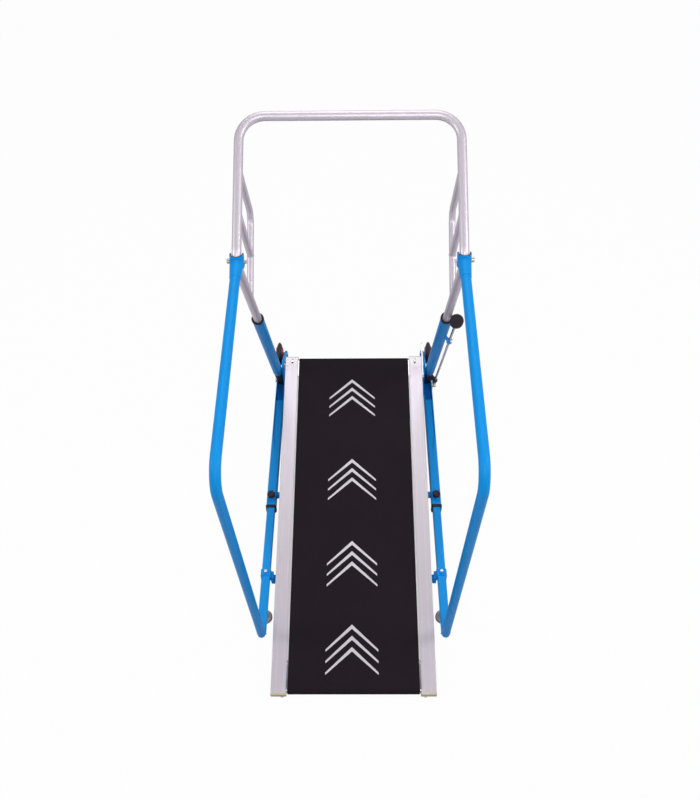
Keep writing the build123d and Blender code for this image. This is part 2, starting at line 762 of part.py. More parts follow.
# Silver handle: one bent tube from inside one upright, over the top bar and into the other
handle_points = (
    on_upright(silver_bottom, side_x),
    shoulder + right * side_x,
    handle_top + right * side_x,
    handle_top - right * side_x,
    shoulder - right * side_x,
    on_upright(silver_bottom, -side_x),
)
handle_radii = (handle_bend_radius, handle_corner_radius, handle_corner_radius, handle_bend_radius)
handle_solid = tube_on(handle_points, handle_radii, silver_radius, 0)
bend_turn = radians(90 + upright_lean - handle_rise)
bend_inset = handle_bend_radius * (1 / cos(bend_turn / 2) - 1)
bend_inward = (handle_along - upright_along).normalized()
fork_point = shoulder + bend_inward * bend_inset
fork_bolt_radius = 4.0
with BuildPart() as handle:
    with BuildLine() as handle_path:
        FilletPolyline(*handle_points, radius=handle_radii)
    with BuildSketch(Plane(origin=handle_path.line @ 0, z_dir=handle_path.line % 0)):
        Circle(silver_radius)
        Circle(silver_radius - tube_wall, mode=Mode.SUBTRACT)
    sweep(path=handle_path.line)
    with BuildSketch(across(fork_point, -side_x - 30)):
        Circle(fork_bolt_radius + 2.6)
    extrude(amount=2 * side_x + 60, mode=Mode.SUBTRACT)
pieces["handle_tube"] = handle.part

# Second grips in front of each upright, with a strut, cut to the handle tube they are welded to
grip_top = shoulder + handle_along * 243
grip_low = on_upright(966)
grip_knee = Vector(0, 311, 1023)
strut_top = shoulder + handle_along * 135
strut_low = Vector(0, 217, 953)
with BuildPart() as grip_right:
    add(tube_on([p + right * side_x for p in (grip_top, grip_knee, grip_low)], grip_bend_radius, grip_radius, 0))
    add(handle_solid, mode=Mode.SUBTRACT)
pieces["side_grip_right"] = grip_right.part
pieces["side_grip_left"] = mirror_image(grip_right.part)

with BuildPart() as strut:
    with BuildSketch(Plane(origin=strut_low + right * side_x, z_dir=strut_top - strut_low)):
        Circle(grip_radius)
    extrude(amount=(strut_top - strut_low).length)
    add(handle_solid, mode=Mode.SUBTRACT)
    add(grip_right.part, mode=Mode.SUBTRACT)
strut_piece = strut.part.solids().sort_by(SortBy.VOLUME)[-1]
pieces["grip_struts"] = on_both_sides(strut_piece)

# Blue side rails: handrail and rear leg in one bent tube, closed by a round end at the floor
handrail_along = (fork_point - elbow_corner).normalized()
socket_back = 58.0
socket_depth = 30.0
handrail_front = fork_point - handrail_along * (socket_back - socket_depth)
leg_along = (elbow_corner - rear_corner).normalized()
leg_cap_height = 11.0
with BuildPart() as handrail:
    add(
        tube_on(
            [p + right * side_x for p in (handrail_front, elbow_corner, rear_corner)],
            elbow_radius,
            rail_tube_radius,
            tube_wall,
        )
    )
    with BuildSketch(Plane(origin=rear_corner + right * side_x, z_dir=leg_along * -1)):
        Circle(rail_tube_radius)
    extrude(amount=leg_cap_height)
    fillet(handrail.edges().group_by(Axis.Z)[0], leg_cap_height - 1)
pieces["handrail_right"] = handrail.part
pieces["handrail_left"] = mirror_image(handrail.part)

# Square side tubes, coped to the rear leg and sliding in the channels
with BuildPart() as side_tube:
    with BuildSketch(lower_section(side_tube_front)):
        RectangleRounded(side_tube_size, side_tube_size, 3)
        RectangleRounded(
            side_tube_size - 2 * tube_wall, side_tube_size - 2 * tube_wall, 1.6, mode=Mode.SUBTRACT
        )
    extrude(amount=lower_length - side_tube_front)
    with BuildSketch(Plane(origin=rear_corner + right * side_x - leg_along * 30, z_dir=leg_along)):
        Circle(rail_tube_radius + 0.02)
    extrude(amount=80, mode=Mode.SUBTRACT)
side_tube_piece = side_tube.part.solids().sort_by(SortBy.VOLUME)[-1]
with BuildPart() as side_tube_right:
    add(side_tube_piece)
pieces["side_tube_right"] = side_tube_right.part
pieces["side_tube_left"] = mirror_image(side_tube_right.part)

# Forks: a saddle that cups the handle's bend, with a tapering socket over the handrail's end
fork_tangent = Vector(0, -bend_inward.Z, bend_inward.Y)
liner_inner = silver_radius + 1.8
liner_outer = liner_inner + 1.2
fork_outer = liner_outer + 2.3
saddle_height = 34.0
ear_reach = 9.0
fork_plane = Plane(
    origin=fork_point + right * side_x - fork_tangent * (saddle_height / 2), x_dir=(1, 0, 0), z_dir=fork_tangent
)
with BuildPart() as fork_right:
    with BuildSketch(Plane(origin=fork_point + right * side_x - handrail_along * socket_back, z_dir=handrail_along)):
        Circle(rail_tube_radius + 1.2)
    with BuildSketch(Plane(origin=fork_point + right * side_x - handrail_along * 8, z_dir=handrail_along)):
        Circle(fork_outer - 0.3)
    loft()
    with BuildSketch(fork_plane):
        Circle(fork_outer)
        with Locations((0, ear_reach / 2)):
            Rectangle(2 * fork_outer, ear_reach)
    extrude(amount=saddle_height)
    with BuildSketch(fork_plane.offset(-20)):
        Circle(liner_outer)
        with Locations((0, 30)):
            Rectangle(2 * liner_outer, 60)
    extrude(amount=saddle_height + 40, mode=Mode.SUBTRACT)
    with BuildSketch(Plane(origin=handrail_front + right * side_x, z_dir=handrail_along * -1)):
        Circle(rail_tube_radius)
    extrude(amount=socket_back, mode=Mode.SUBTRACT)
    with BuildSketch(across(fork_point, side_x - 30)):
        Circle(fork_bolt_radius)
    extrude(amount=60, mode=Mode.SUBTRACT)
pieces["fork_right"] = fork_right.part
pieces["fork_left"] = mirror_image(fork_right.part)

with BuildPart() as fork_liner:
    with BuildSketch(fork_plane.offset(-1)):
        Circle(liner_outer)
        with Locations((0, ear_reach / 2)):
            Rectangle(2 * liner_outer, ear_reach)
        Circle(liner_inner, mode=Mode.SUBTRACT)
        with Locations((0, 30)):
            Rectangle(2 * liner_inner, 60, mode=Mode.SUBTRACT)
    extrude(amount=saddle_height + 2)
    with BuildSketch(across(fork_point, side_x - 30)):
        Circle(fork_bolt_radius)
    extrude(amount=60, mode=Mode.SUBTRACT)
pieces["fork_liners"] = on_both_sides(fork_liner.part)

with BuildPart() as fork_bolt:
    with BuildSketch(across(fork_point, side_x - fork_outer)):
        Circle(fork_bolt_radius)
    extrude(amount=2 * fork_outer)
    with BuildSketch(across(fork_point, side_x + fork_outer)):
        Circle(6.5)
    extrude(amount=7.5)
    fillet(fork_bolt.faces().sort_by(Axis.X)[-1].edges(), 2.5)
    with BuildSketch(across(fork_point, side_x - fork_outer)):
        RegularPolygon(7, 6)
    extrude(amount=-6.5)
pieces["fork_bolts"] = on_both_sides(fork_bolt.part)

# Rest bar clamps: a ring round each side tube, its lug and the bar that runs under the deck
rest_bar_drop = 28.0
clamp_length = 24.0
clamp_wall = 3.0
lug_radius = 14.0
side_tube_half = side_tube_size / 2
bar_point = on_lower(rest_bar_place, -rest_bar_drop)
lug_inner_x = 247.0
lug_outer_x = side_x - side_tube_half - clamp_wall
with BuildPart() as tube_clamp:
    with BuildSketch(lower_section(rest_bar_place - clamp_length / 2)):
        RectangleRounded(side_tube_size + 2 * clamp_wall, side_tube_size + 2 * clamp_wall, 5)
        RectangleRounded(side_tube_size, side_tube_size, 3, mode=Mode.SUBTRACT)
    extrude(amount=clamp_length)
    with BuildSketch(across(bar_point, lug_inner_x)):
        Circle(lug_radius)
    extrude(amount=lug_outer_x - lug_inner_x)
    with BuildSketch(lower_section(rest_bar_place - clamp_length / 2)):
        with Locations((lug_outer_x - side_x - 3, -side_tube_half)):
            Rectangle(8, side_tube_size)
    extrude(amount=clamp_length)
    with BuildSketch(across(bar_point, lug_inner_x)):
        Circle(bar_radius)
    extrude(amount=30, mode=Mode.SUBTRACT)
    with BuildSketch(lower_section(rest_bar_place - clamp_length)):
        RectangleRounded(side_tube_size, side_tube_size, 3)
    extrude(amount=2 * clamp_length, mode=Mode.SUBTRACT)
    with BuildSketch(lower_top(rest_bar_place, side_tube_half + clamp_wall)):
        Circle(8.5)
    extrude(amount=4)
pieces["rest_bar_clamps"] = on_both_sides(tube_clamp.part)

with BuildPart() as clamp_screw:
    with BuildSketch(lower_top(rest_bar_place, side_tube_half + clamp_wall + 4)):
        Circle(5)
    extrude(amount=4.5)
    fillet(clamp_screw.edges().group_by(Axis.Z)[-1], 1.4)
    with BuildSketch(lower_top(rest_bar_place, side_tube_half + clamp_wall + 8.5)):
        RegularPolygon(2.4, 6)
    extrude(amount=-2.2, mode=Mode.SUBTRACT)
pieces["clamp_screws"] = on_both_sides(clamp_screw.part)

with BuildPart() as rest_bar:
    with BuildSketch(across(bar_point, -lug_outer_x)):
        Circle(bar_radius)
        Circle(bar_radius - tube_wall, mode=Mode.SUBTRACT)
    extrude(amount=2 * lug_outer_x)
pieces["rest_bar"] = rest_bar.part

# Rear feet: grey pads on threaded studs under the side tubes
foot_top = on_lower(rear_foot_place, -side_tube_half)
pad_radius = 22.0
pad_height = 12.0
with BuildPart() as foot_pad:
    with BuildSketch(Plane.XY):
        with Locations((side_x, foot_top.Y)):
            Circle(pad_radius)
    extrude(amount=pad_height)
    fillet(foot_pad.edges().group_by(Axis.Z)[-1], 5)
pieces["rear_foot_pads"] = on_both_sides(foot_pad.part)

with BuildPart() as foot_stud:
    with BuildSketch(Plane.XY.offset(pad_height)):
        with Locations((side_x, foot_top.Y)):
            Circle(5)
    extrude(amount=foot_top.Z - pad_height + 4)
    with BuildSketch(Plane.XY.offset(pad_height)):
        with Locations((side_x, foot_top.Y)):
            RegularPolygon(9, 6)
    extrude(amount=6)
    with BuildSketch(lower_section(rear_foot_place - 40)):
        RectangleRounded(side_tube_size, side_tube_size, 3)
    extrude(amount=80, mode=Mode.SUBTRACT)
pieces["rear_foot_studs"] = on_both_sides(foot_stud.part)

os.makedirs("parts", exist_ok=True)
for name, part in pieces.items():
    part.label = name
    export_step(part, f"parts/{name}.step")
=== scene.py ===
"""Pool treadmill: finishes, small formed details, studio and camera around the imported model."""

import logging
from dataclasses import dataclass, field
from enum import Enum
from math import cos, pi, radians, sin, sqrt
from typing import Callable, Sequence

import bmesh
import bpy
from mathutils import Matrix, Vector


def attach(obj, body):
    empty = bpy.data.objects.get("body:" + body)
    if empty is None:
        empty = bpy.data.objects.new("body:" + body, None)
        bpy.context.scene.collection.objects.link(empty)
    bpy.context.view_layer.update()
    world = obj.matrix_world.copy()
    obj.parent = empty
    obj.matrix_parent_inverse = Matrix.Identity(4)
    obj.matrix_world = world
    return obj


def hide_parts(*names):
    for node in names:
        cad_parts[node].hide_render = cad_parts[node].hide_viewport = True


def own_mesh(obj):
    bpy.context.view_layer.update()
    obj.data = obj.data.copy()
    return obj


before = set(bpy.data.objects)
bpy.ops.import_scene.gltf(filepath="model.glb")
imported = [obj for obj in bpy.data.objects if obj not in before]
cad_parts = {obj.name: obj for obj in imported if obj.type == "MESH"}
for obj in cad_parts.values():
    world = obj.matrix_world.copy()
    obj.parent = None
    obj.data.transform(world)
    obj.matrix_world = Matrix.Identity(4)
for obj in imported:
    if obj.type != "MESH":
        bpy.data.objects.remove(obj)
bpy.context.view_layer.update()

LOG = logging.getLogger("treadmill")
MM = 0.001

Colour = tuple[float, float, float]


class Along(Enum):
    """Direction in which a tube or profile was drawn, which its fine lines follow."""

    ACROSS = "across"
    DECK = "deck"
    LOWER = "lower"
    UPRIGHT = "upright"
    NONE = "none"


class Side(Enum):
    """The walker's left or right, with its sign along X."""

    LEFT = -1
    RIGHT = 1


@dataclass(frozen=True)
class Layout:
    """Driving places of the machine, in millimetres and degrees, as in the part's source."""

    side_x: float = 277.5
    deck_slope: float = 9.5
    deck_rear_y: float = -653.0
    rail_height: float = 27.0
    foot: tuple[float, float] = (567.0, 29.0)
    rear: tuple[float, float] = (-484.0, 74.0)
    elbow: tuple[float, float] = (-620.0, 1081.0)
    upright_lean: float = 27.8
    upright_length: float = 1244.0
    handle_rise: float = 30.4
    wheel: tuple[float, float] = (609.0, 128.0)

    def deck_way(self) -> Vector:
        """Direction along the deck, towards its raised front end."""
        return Vector((0, cos(radians(self.deck_slope)), sin(radians(self.deck_slope))))

    def deck_up(self) -> Vector:
        """Direction square to the deck's top."""
        return Vector((0, -sin(radians(self.deck_slope)), cos(radians(self.deck_slope))))

    def on_deck(self, place: float, height: float = 0.0, x: float = 0.0) -> Vector:
        """Gives a point on the deck.

        Args:
            place: distance from the deck's rear end, in mm.
            height: height above the rails' top, in mm.
            x: place across the deck, in mm.

        Returns:
            The point, in metres.
        """
        rear = Vector((x, self.deck_rear_y, self.rail_height * cos(radians(self.deck_slope))))
        return (rear + self.deck_way() * place + self.deck_up() * height) * MM

    def lower_way(self) -> Vector:
        """Direction of the lower side tubes, towards the rear."""
        return Vector((0, self.rear[0] - self.foot[0], self.rear[1] - self.foot[1])).normalized()

    def upright_way(self) -> Vector:
        """Direction of the uprights, from foot to shoulder."""
        return Vector((0, -sin(radians(self.upright_lean)), cos(radians(self.upright_lean))))

    def handle_way(self) -> Vector:
        """Direction of the handle's arms, from shoulder to top bar."""
        return Vector((0, cos(radians(self.handle_rise)), sin(radians(self.handle_rise))))

    def leg_way(self) -> Vector:
        """Direction of the rear legs, from floor to elbow."""
        return Vector((0, self.elbow[0] - self.rear[0], self.elbow[1] - self.rear[1])).normalized()

    def at(self, point: Sequence[float], x: float) -> Vector:
        """Turns a (Y, Z) point in mm and a place across into metres."""
        return Vector((x, point[0], point[1])) * MM

    def on_upright(self, place: float, x: float) -> Vector:
        """Point on an upright's axis, in metres, measured in mm up from the foot pivot."""
        return self.at(self.foot, x) + self.upright_way() * place * MM

    def shoulder(self, x: float) -> Vector:
        """Point where an upright meets its handle arm, in metres."""
        return self.on_upright(self.upright_length, x)


LAYOUT = Layout()


class EffectLibrary:
    """Shared shader node groups, each built once and placed in many materials."""

    def __init__(self) -> None:
        """Builds every group."""
        self.grain = self._grain()
        self.mottle = self._mottle()
        self.edge = self._edge()
        self.weave = self._weave()

    @staticmethod
    def _group(name: str, inputs: dict[str, float], outputs: Sequence[str]) -> bpy.types.NodeTree:
        """Makes an empty group with number inputs, one vector input and number outputs.

        Args:
            name: name of the group.
            inputs: number inputs with their default values.
            outputs: names of the number outputs.

        Returns:
            The node tree with its input and output nodes, named "in" and "out".
        """
        tree = bpy.data.node_groups.new(name, "ShaderNodeTree")
        tree.interface.new_socket(name="Vector", in_out="INPUT", socket_type="NodeSocketVector")
        for label, value in inputs.items():
            socket = tree.interface.new_socket(name=label, in_out="INPUT", socket_type="NodeSocketFloat")
            socket.default_value = value
        for label in outputs:
            tree.interface.new_socket(name=label, in_out="OUTPUT", socket_type="NodeSocketFloat")
        tree.nodes.new("NodeGroupInput").name = "in"
        tree.nodes.new("NodeGroupOutput").name = "out"
        return tree

    @staticmethod
    def _scaled(tree: bpy.types.NodeTree, x: float, y: float, z: float) -> bpy.types.Node:
        """Adds a node that scales the group's vector by fixed factors."""
        node = tree.nodes.new("ShaderNodeVectorMath")
        node.operation = "MULTIPLY"
        node.inputs[1].default_value = (x, y, z)
        tree.links.new(tree.nodes["in"].outputs["Vector"], node.inputs[0])
        return node

    def _grain(self) -> bpy.types.NodeTree:
        """Fine drawn lines along local Y, as on extruded or brushed metal."""
        tree = self._group("drawn_grain", {"Strength": 0.5}, ("Value",))
        stretch = self._scaled(tree, 1800.0, 9.0, 1800.0)
        noise = tree.nodes.new("ShaderNodeTexNoise")
        noise.inputs["Scale"].default_value = 1.0
        noise.inputs["Detail"].default_value = 3.0
        tree.links.new(stretch.outputs[0], noise.inputs["Vector"])
        shift = tree.nodes.new("ShaderNodeMath")
        shift.operation = "SUBTRACT"
        shift.inputs[1].default_value = 0.5
        tree.links.new(noise.outputs["Fac"], shift.inputs[0])
        gain = tree.nodes.new("ShaderNodeMath")
        gain.operation = "MULTIPLY"
        tree.links.new(shift.outputs[0], gain.inputs[0])
        tree.links.new(tree.nodes["in"].outputs["Strength"], gain.inputs[1])
        tree.links.new(gain.outputs[0], tree.nodes["out"].inputs["Value"])
        return tree

    def _mottle(self) -> bpy.types.NodeTree:
        """Soft cloudy variation with a finer dusting on top of it."""
        tree = self._group("mottle", {"Scale": 30.0}, ("Cloud", "Dust"))
        cloud = tree.nodes.new("ShaderNodeTexNoise")
        cloud.inputs["Detail"].default_value = 4.0
        cloud.inputs["Roughness"].default_value = 0.6
        tree.links.new(tree.nodes["in"].outputs["Vector"], cloud.inputs["Vector"])
        tree.links.new(tree.nodes["in"].outputs["Scale"], cloud.inputs["Scale"])
        finer = tree.nodes.new("ShaderNodeMath")
        finer.operation = "MULTIPLY"
        finer.inputs[1].default_value = 22.0
        tree.links.new(tree.nodes["in"].outputs["Scale"], finer.inputs[0])
        dust = tree.nodes.new("ShaderNodeTexNoise")
        dust.inputs["Detail"].default_value = 2.0
        tree.links.new(tree.nodes["in"].outputs["Vector"], dust.inputs["Vector"])
        tree.links.new(finer.outputs[0], dust.inputs["Scale"])
        tree.links.new(cloud.outputs["Fac"], tree.nodes["out"].inputs["Cloud"])
        tree.links.new(dust.outputs["Fac"], tree.nodes["out"].inputs["Dust"])
        return tree

    def _edge(self) -> bpy.types.NodeTree:
        """Mask that is high along sharp outer edges, where a lighter colour is painted in as a highlight.
        """
        tree = self._group("edge_highlight_mask", {"Gain": 6.0}, ("Mask",))
        bevel = tree.nodes.new("ShaderNodeBevel")
        bevel.samples = 4
        bevel.inputs["Radius"].default_value = 0.0012
        geometry = tree.nodes.new("ShaderNodeNewGeometry")
        dot = tree.nodes.new("ShaderNodeVectorMath")
        dot.operation = "DOT_PRODUCT"
        tree.links.new(bevel.outputs["Normal"], dot.inputs[0])
        tree.links.new(geometry.outputs["True Normal"], dot.inputs[1])
        off = tree.nodes.new("ShaderNodeMath")
        off.operation = "SUBTRACT"
        off.inputs[0].default_value = 0.985
        off.use_clamp = True
        tree.links.new(dot.outputs["Value"], off.inputs[1])
        gain = tree.nodes.new("ShaderNodeMath")
        gain.operation = "MULTIPLY"
        gain.use_clamp = True
        tree.links.new(off.outputs[0], gain.inputs[0])
        tree.links.new(tree.nodes["in"].outputs["Gain"], gain.inputs[1])
        tree.links.new(gain.outputs[0], tree.nodes["out"].inputs["Mask"])
        return tree

    def _weave(self) -> bpy.types.NodeTree:
        """Fine cross-ribbed cloth face, as the top of a conveyor belt has."""
        tree = self._group("belt_weave", {"Pitch": 1400.0}, ("Height", "Patch"))
        waves = []
        for axis in ("X", "Y"):
            wave = tree.nodes.new("ShaderNodeTexWave")
            wave.wave_type = "BANDS"
            wave.bands_direction = axis
            wave.inputs["Distortion"].default_value = 0.6
            wave.inputs["Detail"].default_value = 1.0
            tree.links.new(tree.nodes["in"].outputs["Vector"], wave.inputs["Vector"])
            tree.links.new(tree.nodes["in"].outputs["Pitch"], wave.inputs["Scale"])
            waves.append(wave)
        joined = tree.nodes.new("ShaderNodeMath")
        joined.operation = "MULTIPLY"
        tree.links.new(waves[0].outputs["Fac"], joined.inputs[0])
        tree.links.new(waves[1].outputs["Fac"], joined.inputs[1])
        patch = tree.nodes.new("ShaderNodeTexNoise")
        patch.inputs["Scale"].default_value = 7.0
        patch.inputs["Detail"].default_value = 3.0
        tree.links.new(tree.nodes["in"].outputs["Vector"], patch.inputs["Vector"])
        tree.links.new(joined.outputs[0], tree.nodes["out"].inputs["Height"])
        tree.links.new(patch.outputs["Fac"], tree.nodes["out"].inputs["Patch"])
        return tree


EFFECTS = EffectLibrary()


@dataclass(frozen=True)
class Finish:
    """Base of every finish: a named Principled material with colour and roughness variation, and an
    optional painted highlight along sharp edges.
    """

    name: str
    colour: Colour
    shade: Colour
    roughness: float
    metallic: float = 0.0
    coat: float = 0.0
    along: Along = Along.NONE
    cloud_scale: float = 25.0
    roughness_spread: float = 0.08
    bump: float = 0.0
    # lighter colour painted along sharp edges as a highlight; None for finishes without one
    edge_highlight_colour: Colour | None = None
    gloss: float = 0.5

    def build(self) -> bpy.types.Material:
        """Makes the material.

        Returns:
            The new material, with its node tree in place.
        """
        material = bpy.data.materials.new(self.name)
        material.use_nodes = True
        material.diffuse_color = (*self.colour, 1.0)
        tree = material.node_tree
        shader = tree.nodes["Principled BSDF"]
        shader.inputs["Metallic"].default_value = self.metallic
        shader.inputs["Coat Weight"].default_value = self.coat
        shader.inputs["Coat Roughness"].default_value = 0.12
        shader.inputs["Specular IOR Level"].default_value = self.gloss
        vector = self._vector(tree)
        mottle = self._place(tree, EFFECTS.mottle, vector)
        mottle.inputs["Scale"].default_value = self.cloud_scale
        colour = self._mix(tree, mottle.outputs["Cloud"], self.colour, self.shade)
        # painted highlight: where the edge mask is high, the colour turns to a lighter copy of itself
        if self.edge_highlight_colour is not None:
            edge = self._place(tree, EFFECTS.edge, vector)
            colour = self._mix(tree, edge.outputs["Mask"], colour, self.edge_highlight_colour)
        tree.links.new(colour, shader.inputs["Base Color"])
        rough = tree.nodes.new("ShaderNodeMapRange")
        rough.inputs["To Min"].default_value = max(0.02, self.roughness - self.roughness_spread)
        rough.inputs["To Max"].default_value = min(1.0, self.roughness + self.roughness_spread)
        tree.links.new(mottle.outputs["Dust"], rough.inputs["Value"])
        tree.links.new(rough.outputs["Result"], shader.inputs["Roughness"])
        self.relief(tree, shader, vector, mottle)
        return material

    def relief(
        self,
        tree: bpy.types.NodeTree,
        shader: bpy.types.Node,
        vector: bpy.types.NodeSocket,
        mottle: bpy.types.Node,
    ) -> None:
        """Adds the finish's fine relief: drawn lines along a profile, or an even grain.

        Args:
            tree: the material's node tree.
            shader: its Principled node.
            vector: coordinates of the surface.
            mottle: the placed mottle group.
        """
        if self.bump <= 0:
            return
        height = mottle.outputs["Dust"]
        if self.along is not Along.NONE:
            grain = self._place(tree, EFFECTS.grain, vector)
            height = grain.outputs["Value"]
        bump = tree.nodes.new("ShaderNodeBump")
        bump.inputs["Strength"].default_value = self.bump
        bump.inputs["Distance"].default_value = 0.0003
        tree.links.new(height, bump.inputs["Height"])
        tree.links.new(bump.outputs["Normal"], shader.inputs["Normal"])

    def _vector(self, tree: bpy.types.NodeTree) -> bpy.types.NodeSocket:
        """Coordinates whose Y runs along the finish's drawn direction."""
        coordinates = tree.nodes.new("ShaderNodeTexCoord")
        turn = {
            Along.NONE: (0.0, 0.0, 0.0),
            Along.ACROSS: (0.0, 0.0, pi / 2),
            Along.DECK: (-radians(LAYOUT.deck_slope), 0.0, 0.0),
            Along.LOWER: (radians(2.45), 0.0, 0.0),
            Along.UPRIGHT: (-radians(90 + LAYOUT.upright_lean), 0.0, 0.0),
        }[self.along]
        mapping = tree.nodes.new("ShaderNodeMapping")
        mapping.inputs["Rotation"].default_value = turn
        tree.links.new(coordinates.outputs["Object"], mapping.inputs["Vector"])
        return mapping.outputs["Vector"]

    @staticmethod
    def _place(
        tree: bpy.types.NodeTree, group: bpy.types.NodeTree, vector: bpy.types.NodeSocket
    ) -> bpy.types.Node:
        """Places a shared effect in a material and gives it coordinates."""
        node = tree.nodes.new("ShaderNodeGroup")
        node.node_tree = group
        tree.links.new(vector, node.inputs["Vector"])
        return node

    @staticmethod
    def _mix(
        tree: bpy.types.NodeTree,
        factor: bpy.types.NodeSocket,
        first: Colour | bpy.types.NodeSocket,
        second: Colour | bpy.types.NodeSocket,
    ) -> bpy.types.NodeSocket:
        """Mixes two colours by a mask, each a fixed colour or a socket."""
        mix = tree.nodes.new("ShaderNodeMix")
        mix.data_type = "RGBA"
        tree.links.new(factor, mix.inputs["Factor"])
        for socket, value in ((mix.inputs["A"], first), (mix.inputs["B"], second)):
            if isinstance(value, bpy.types.NodeSocket):
                tree.links.new(value, socket)
            else:
                socket.default_value = (*value, 1.0)
        return mix.outputs["Result"]


@dataclass(frozen=True)
class BeltFace(Finish):
    """Dark conveyor belt with a fine ribbed cloth face."""

    def relief(
        self,
        tree: bpy.types.NodeTree,
        shader: bpy.types.Node,
        vector: bpy.types.NodeSocket,
        mottle: bpy.types.Node,
    ) -> None:
        """Adds the cloth's ribs.

        Args:
            tree: the material's node tree.
            shader: its Principled node.
            vector: coordinates of the surface.
            mottle: the placed mottle group; not used here.
        """
        weave = self._place(tree, EFFECTS.weave, vector)
        bump = tree.nodes.new("ShaderNodeBump")
        bump.inputs["Strength"].default_value = self.bump
        bump.inputs["Distance"].default_value = 0.0002
        tree.links.new(weave.outputs["Height"], bump.inputs["Height"])
        tree.links.new(bump.outputs["Normal"], shader.inputs["Normal"])


@dataclass(frozen=True)
class WornPrint(BeltFace):
    """White ink on the belt, thinned where feet have rubbed it, with the belt's ribs showing through."""


@dataclass(frozen=True)
class FinishSet:
    """Every finish of the machine, by the part of it that wears it."""

    # Each edge highlight colour below is a lighter copy of its finish's colour, painted along sharp edges
    # as a highlight.
    blue: Finish = Finish(
        "blue_powder_coat", (0.010, 0.34, 0.86), (0.008, 0.30, 0.80), 0.38, bump=0.03,
        cloud_scale=14.0, roughness_spread=0.03, edge_highlight_colour=(0.03, 0.44, 0.95), gloss=0.10,
    )
    silver: Finish = Finish(
        "satin_silver_tube", (0.84, 0.77, 0.85), (0.78, 0.71, 0.79), 0.46, metallic=0.55, bump=0.015,
        cloud_scale=18.0, roughness_spread=0.02,
    )
    rail: Finish = Finish(
        "extruded_rail", (0.80, 0.73, 0.79), (0.73, 0.66, 0.72), 0.40, metallic=0.45,
        along=Along.DECK, bump=0.35, cloud_scale=10.0, edge_highlight_colour=(0.92, 0.88, 0.91),
    )
    member: Finish = Finish(
        "mill_aluminium", (0.72, 0.71, 0.73), (0.64, 0.63, 0.66), 0.45, metallic=0.9,
        along=Along.ACROSS, bump=0.3,
    )
    steel: Finish = Finish(
        "stainless_steel", (0.66, 0.65, 0.66), (0.56, 0.55, 0.57), 0.28, metallic=1.0,
        bump=0.15, cloud_scale=90.0,
        edge_highlight_colour=(0.85, 0.84, 0.85),
    )
    rod: Finish = Finish(
        "drawn_steel_rod", (0.70, 0.69, 0.70), (0.60, 0.59, 0.61), 0.22, metallic=1.0,
        along=Along.UPRIGHT, bump=0.2,
        cloud_scale=60.0,
    )
    black: Finish = Finish(
        "black_nylon", (0.020, 0.014, 0.020), (0.028, 0.021, 0.028), 0.46, bump=0.35, cloud_scale=60.0,
        edge_highlight_colour=(0.06, 0.05, 0.06), gloss=0.25,
    )
    beige: Finish = Finish(
        "beige_end_plug", (0.70, 0.60, 0.42), (0.64, 0.54, 0.37), 0.50, bump=0.25, cloud_scale=50.0,
        edge_highlight_colour=(0.80, 0.72, 0.56),
    )
    acetal: Finish = Finish(
        "white_acetal", (0.84, 0.83, 0.82), (0.78, 0.77, 0.76), 0.38, bump=0.15, cloud_scale=40.0,
    )
    board: Finish = Finish(
        "slide_board", (0.86, 0.85, 0.83), (0.80, 0.79, 0.77), 0.40, bump=0.2, cloud_scale=12.0,
    )
    belt: Finish = BeltFace(
        "belt_face", (0.0125, 0.0078, 0.0120), (0.0180, 0.0120, 0.0175), 0.70, along=Along.DECK, bump=0.55,
        cloud_scale=6.0, gloss=0.12,
    )
    ink: Finish = WornPrint(
        "belt_ink", (0.80, 0.77, 0.80), (0.66, 0.60, 0.67), 0.60,
        along=Along.DECK, bump=0.4, cloud_scale=16.0,
    )
    tyre: Finish = Finish(
        "tyre_rubber", (0.030, 0.026, 0.030), (0.045, 0.040, 0.044), 0.66, bump=0.5, cloud_scale=50.0,
        edge_highlight_colour=(0.07, 0.065, 0.07),
    )
    hub: Finish = Finish(
        "red_hub", (0.52, 0.018, 0.022), (0.44, 0.012, 0.016), 0.34, coat=0.2, bump=0.15, cloud_scale=40.0,
        edge_highlight_colour=(0.66, 0.06, 0.06),
    )
    pad: Finish = Finish(
        "grey_rubber_foot", (0.50, 0.44, 0.44), (0.42, 0.37, 0.38), 0.62, bump=0.4, cloud_scale=45.0,
        edge_highlight_colour=(0.62, 0.56, 0.56),
    )


class Paintbox:
    """Builds each finish once and puts it on CAD nodes and new pieces."""

    def __init__(self, finishes: FinishSet) -> None:
        """Starts with no material made.

        Args:
            finishes: the machine's finishes.
        """
        self.finishes = finishes
        self._made: dict[str, bpy.types.Material] = {}

    def material(self, finish: Finish) -> bpy.types.Material:
        """Gives the material of a finish, made on first use."""
        if finish.name not in self._made:
            self._made[finish.name] = finish.build()
        return self._made[finish.name]

    def coat(self, piece: bpy.types.Object, finish: Finish) -> None:
        """Puts a finish on every material slot of an object."""
        material = self.material(finish)
        if not piece.material_slots:
            piece.data.materials.append(material)
        for slot in piece.material_slots:
            slot.material = material

    def dress(self, node: str, finish: Finish) -> None:
        """Dresses a CAD node.

        Args:
            node: name of the node.
            finish: the finish it gets.
        """
        self.coat(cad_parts[node], finish)
        LOG.info("dressed %s in %s", node, finish.name)


PAINT = Paintbox(FinishSet())
FINISHES = PAINT.finishes


def add_mesh(name: str, mesh: bmesh.types.BMesh, smooth: bool = True) -> bpy.types.Object:
    """Turns built geometry into an object of the scene.

    Args:
        name: name of the piece.
        mesh: its geometry, which is freed.
        smooth: whether faces are shaded as one curve.

    Returns:
        The new object.
    """
    bmesh.ops.recalc_face_normals(mesh, faces=mesh.faces)
    data = bpy.data.meshes.new(name)
    mesh.to_mesh(data)
    mesh.free()
    for polygon in data.polygons:
        polygon.use_smooth = smooth
    piece = bpy.data.objects.new(name, data)
    bpy.context.scene.collection.objects.link(piece)
    return piece


def side_name(name: str, side: Side) -> str:
    """Name of a piece on one side of the machine."""
    return f"{name}_{side.name.lower()}"


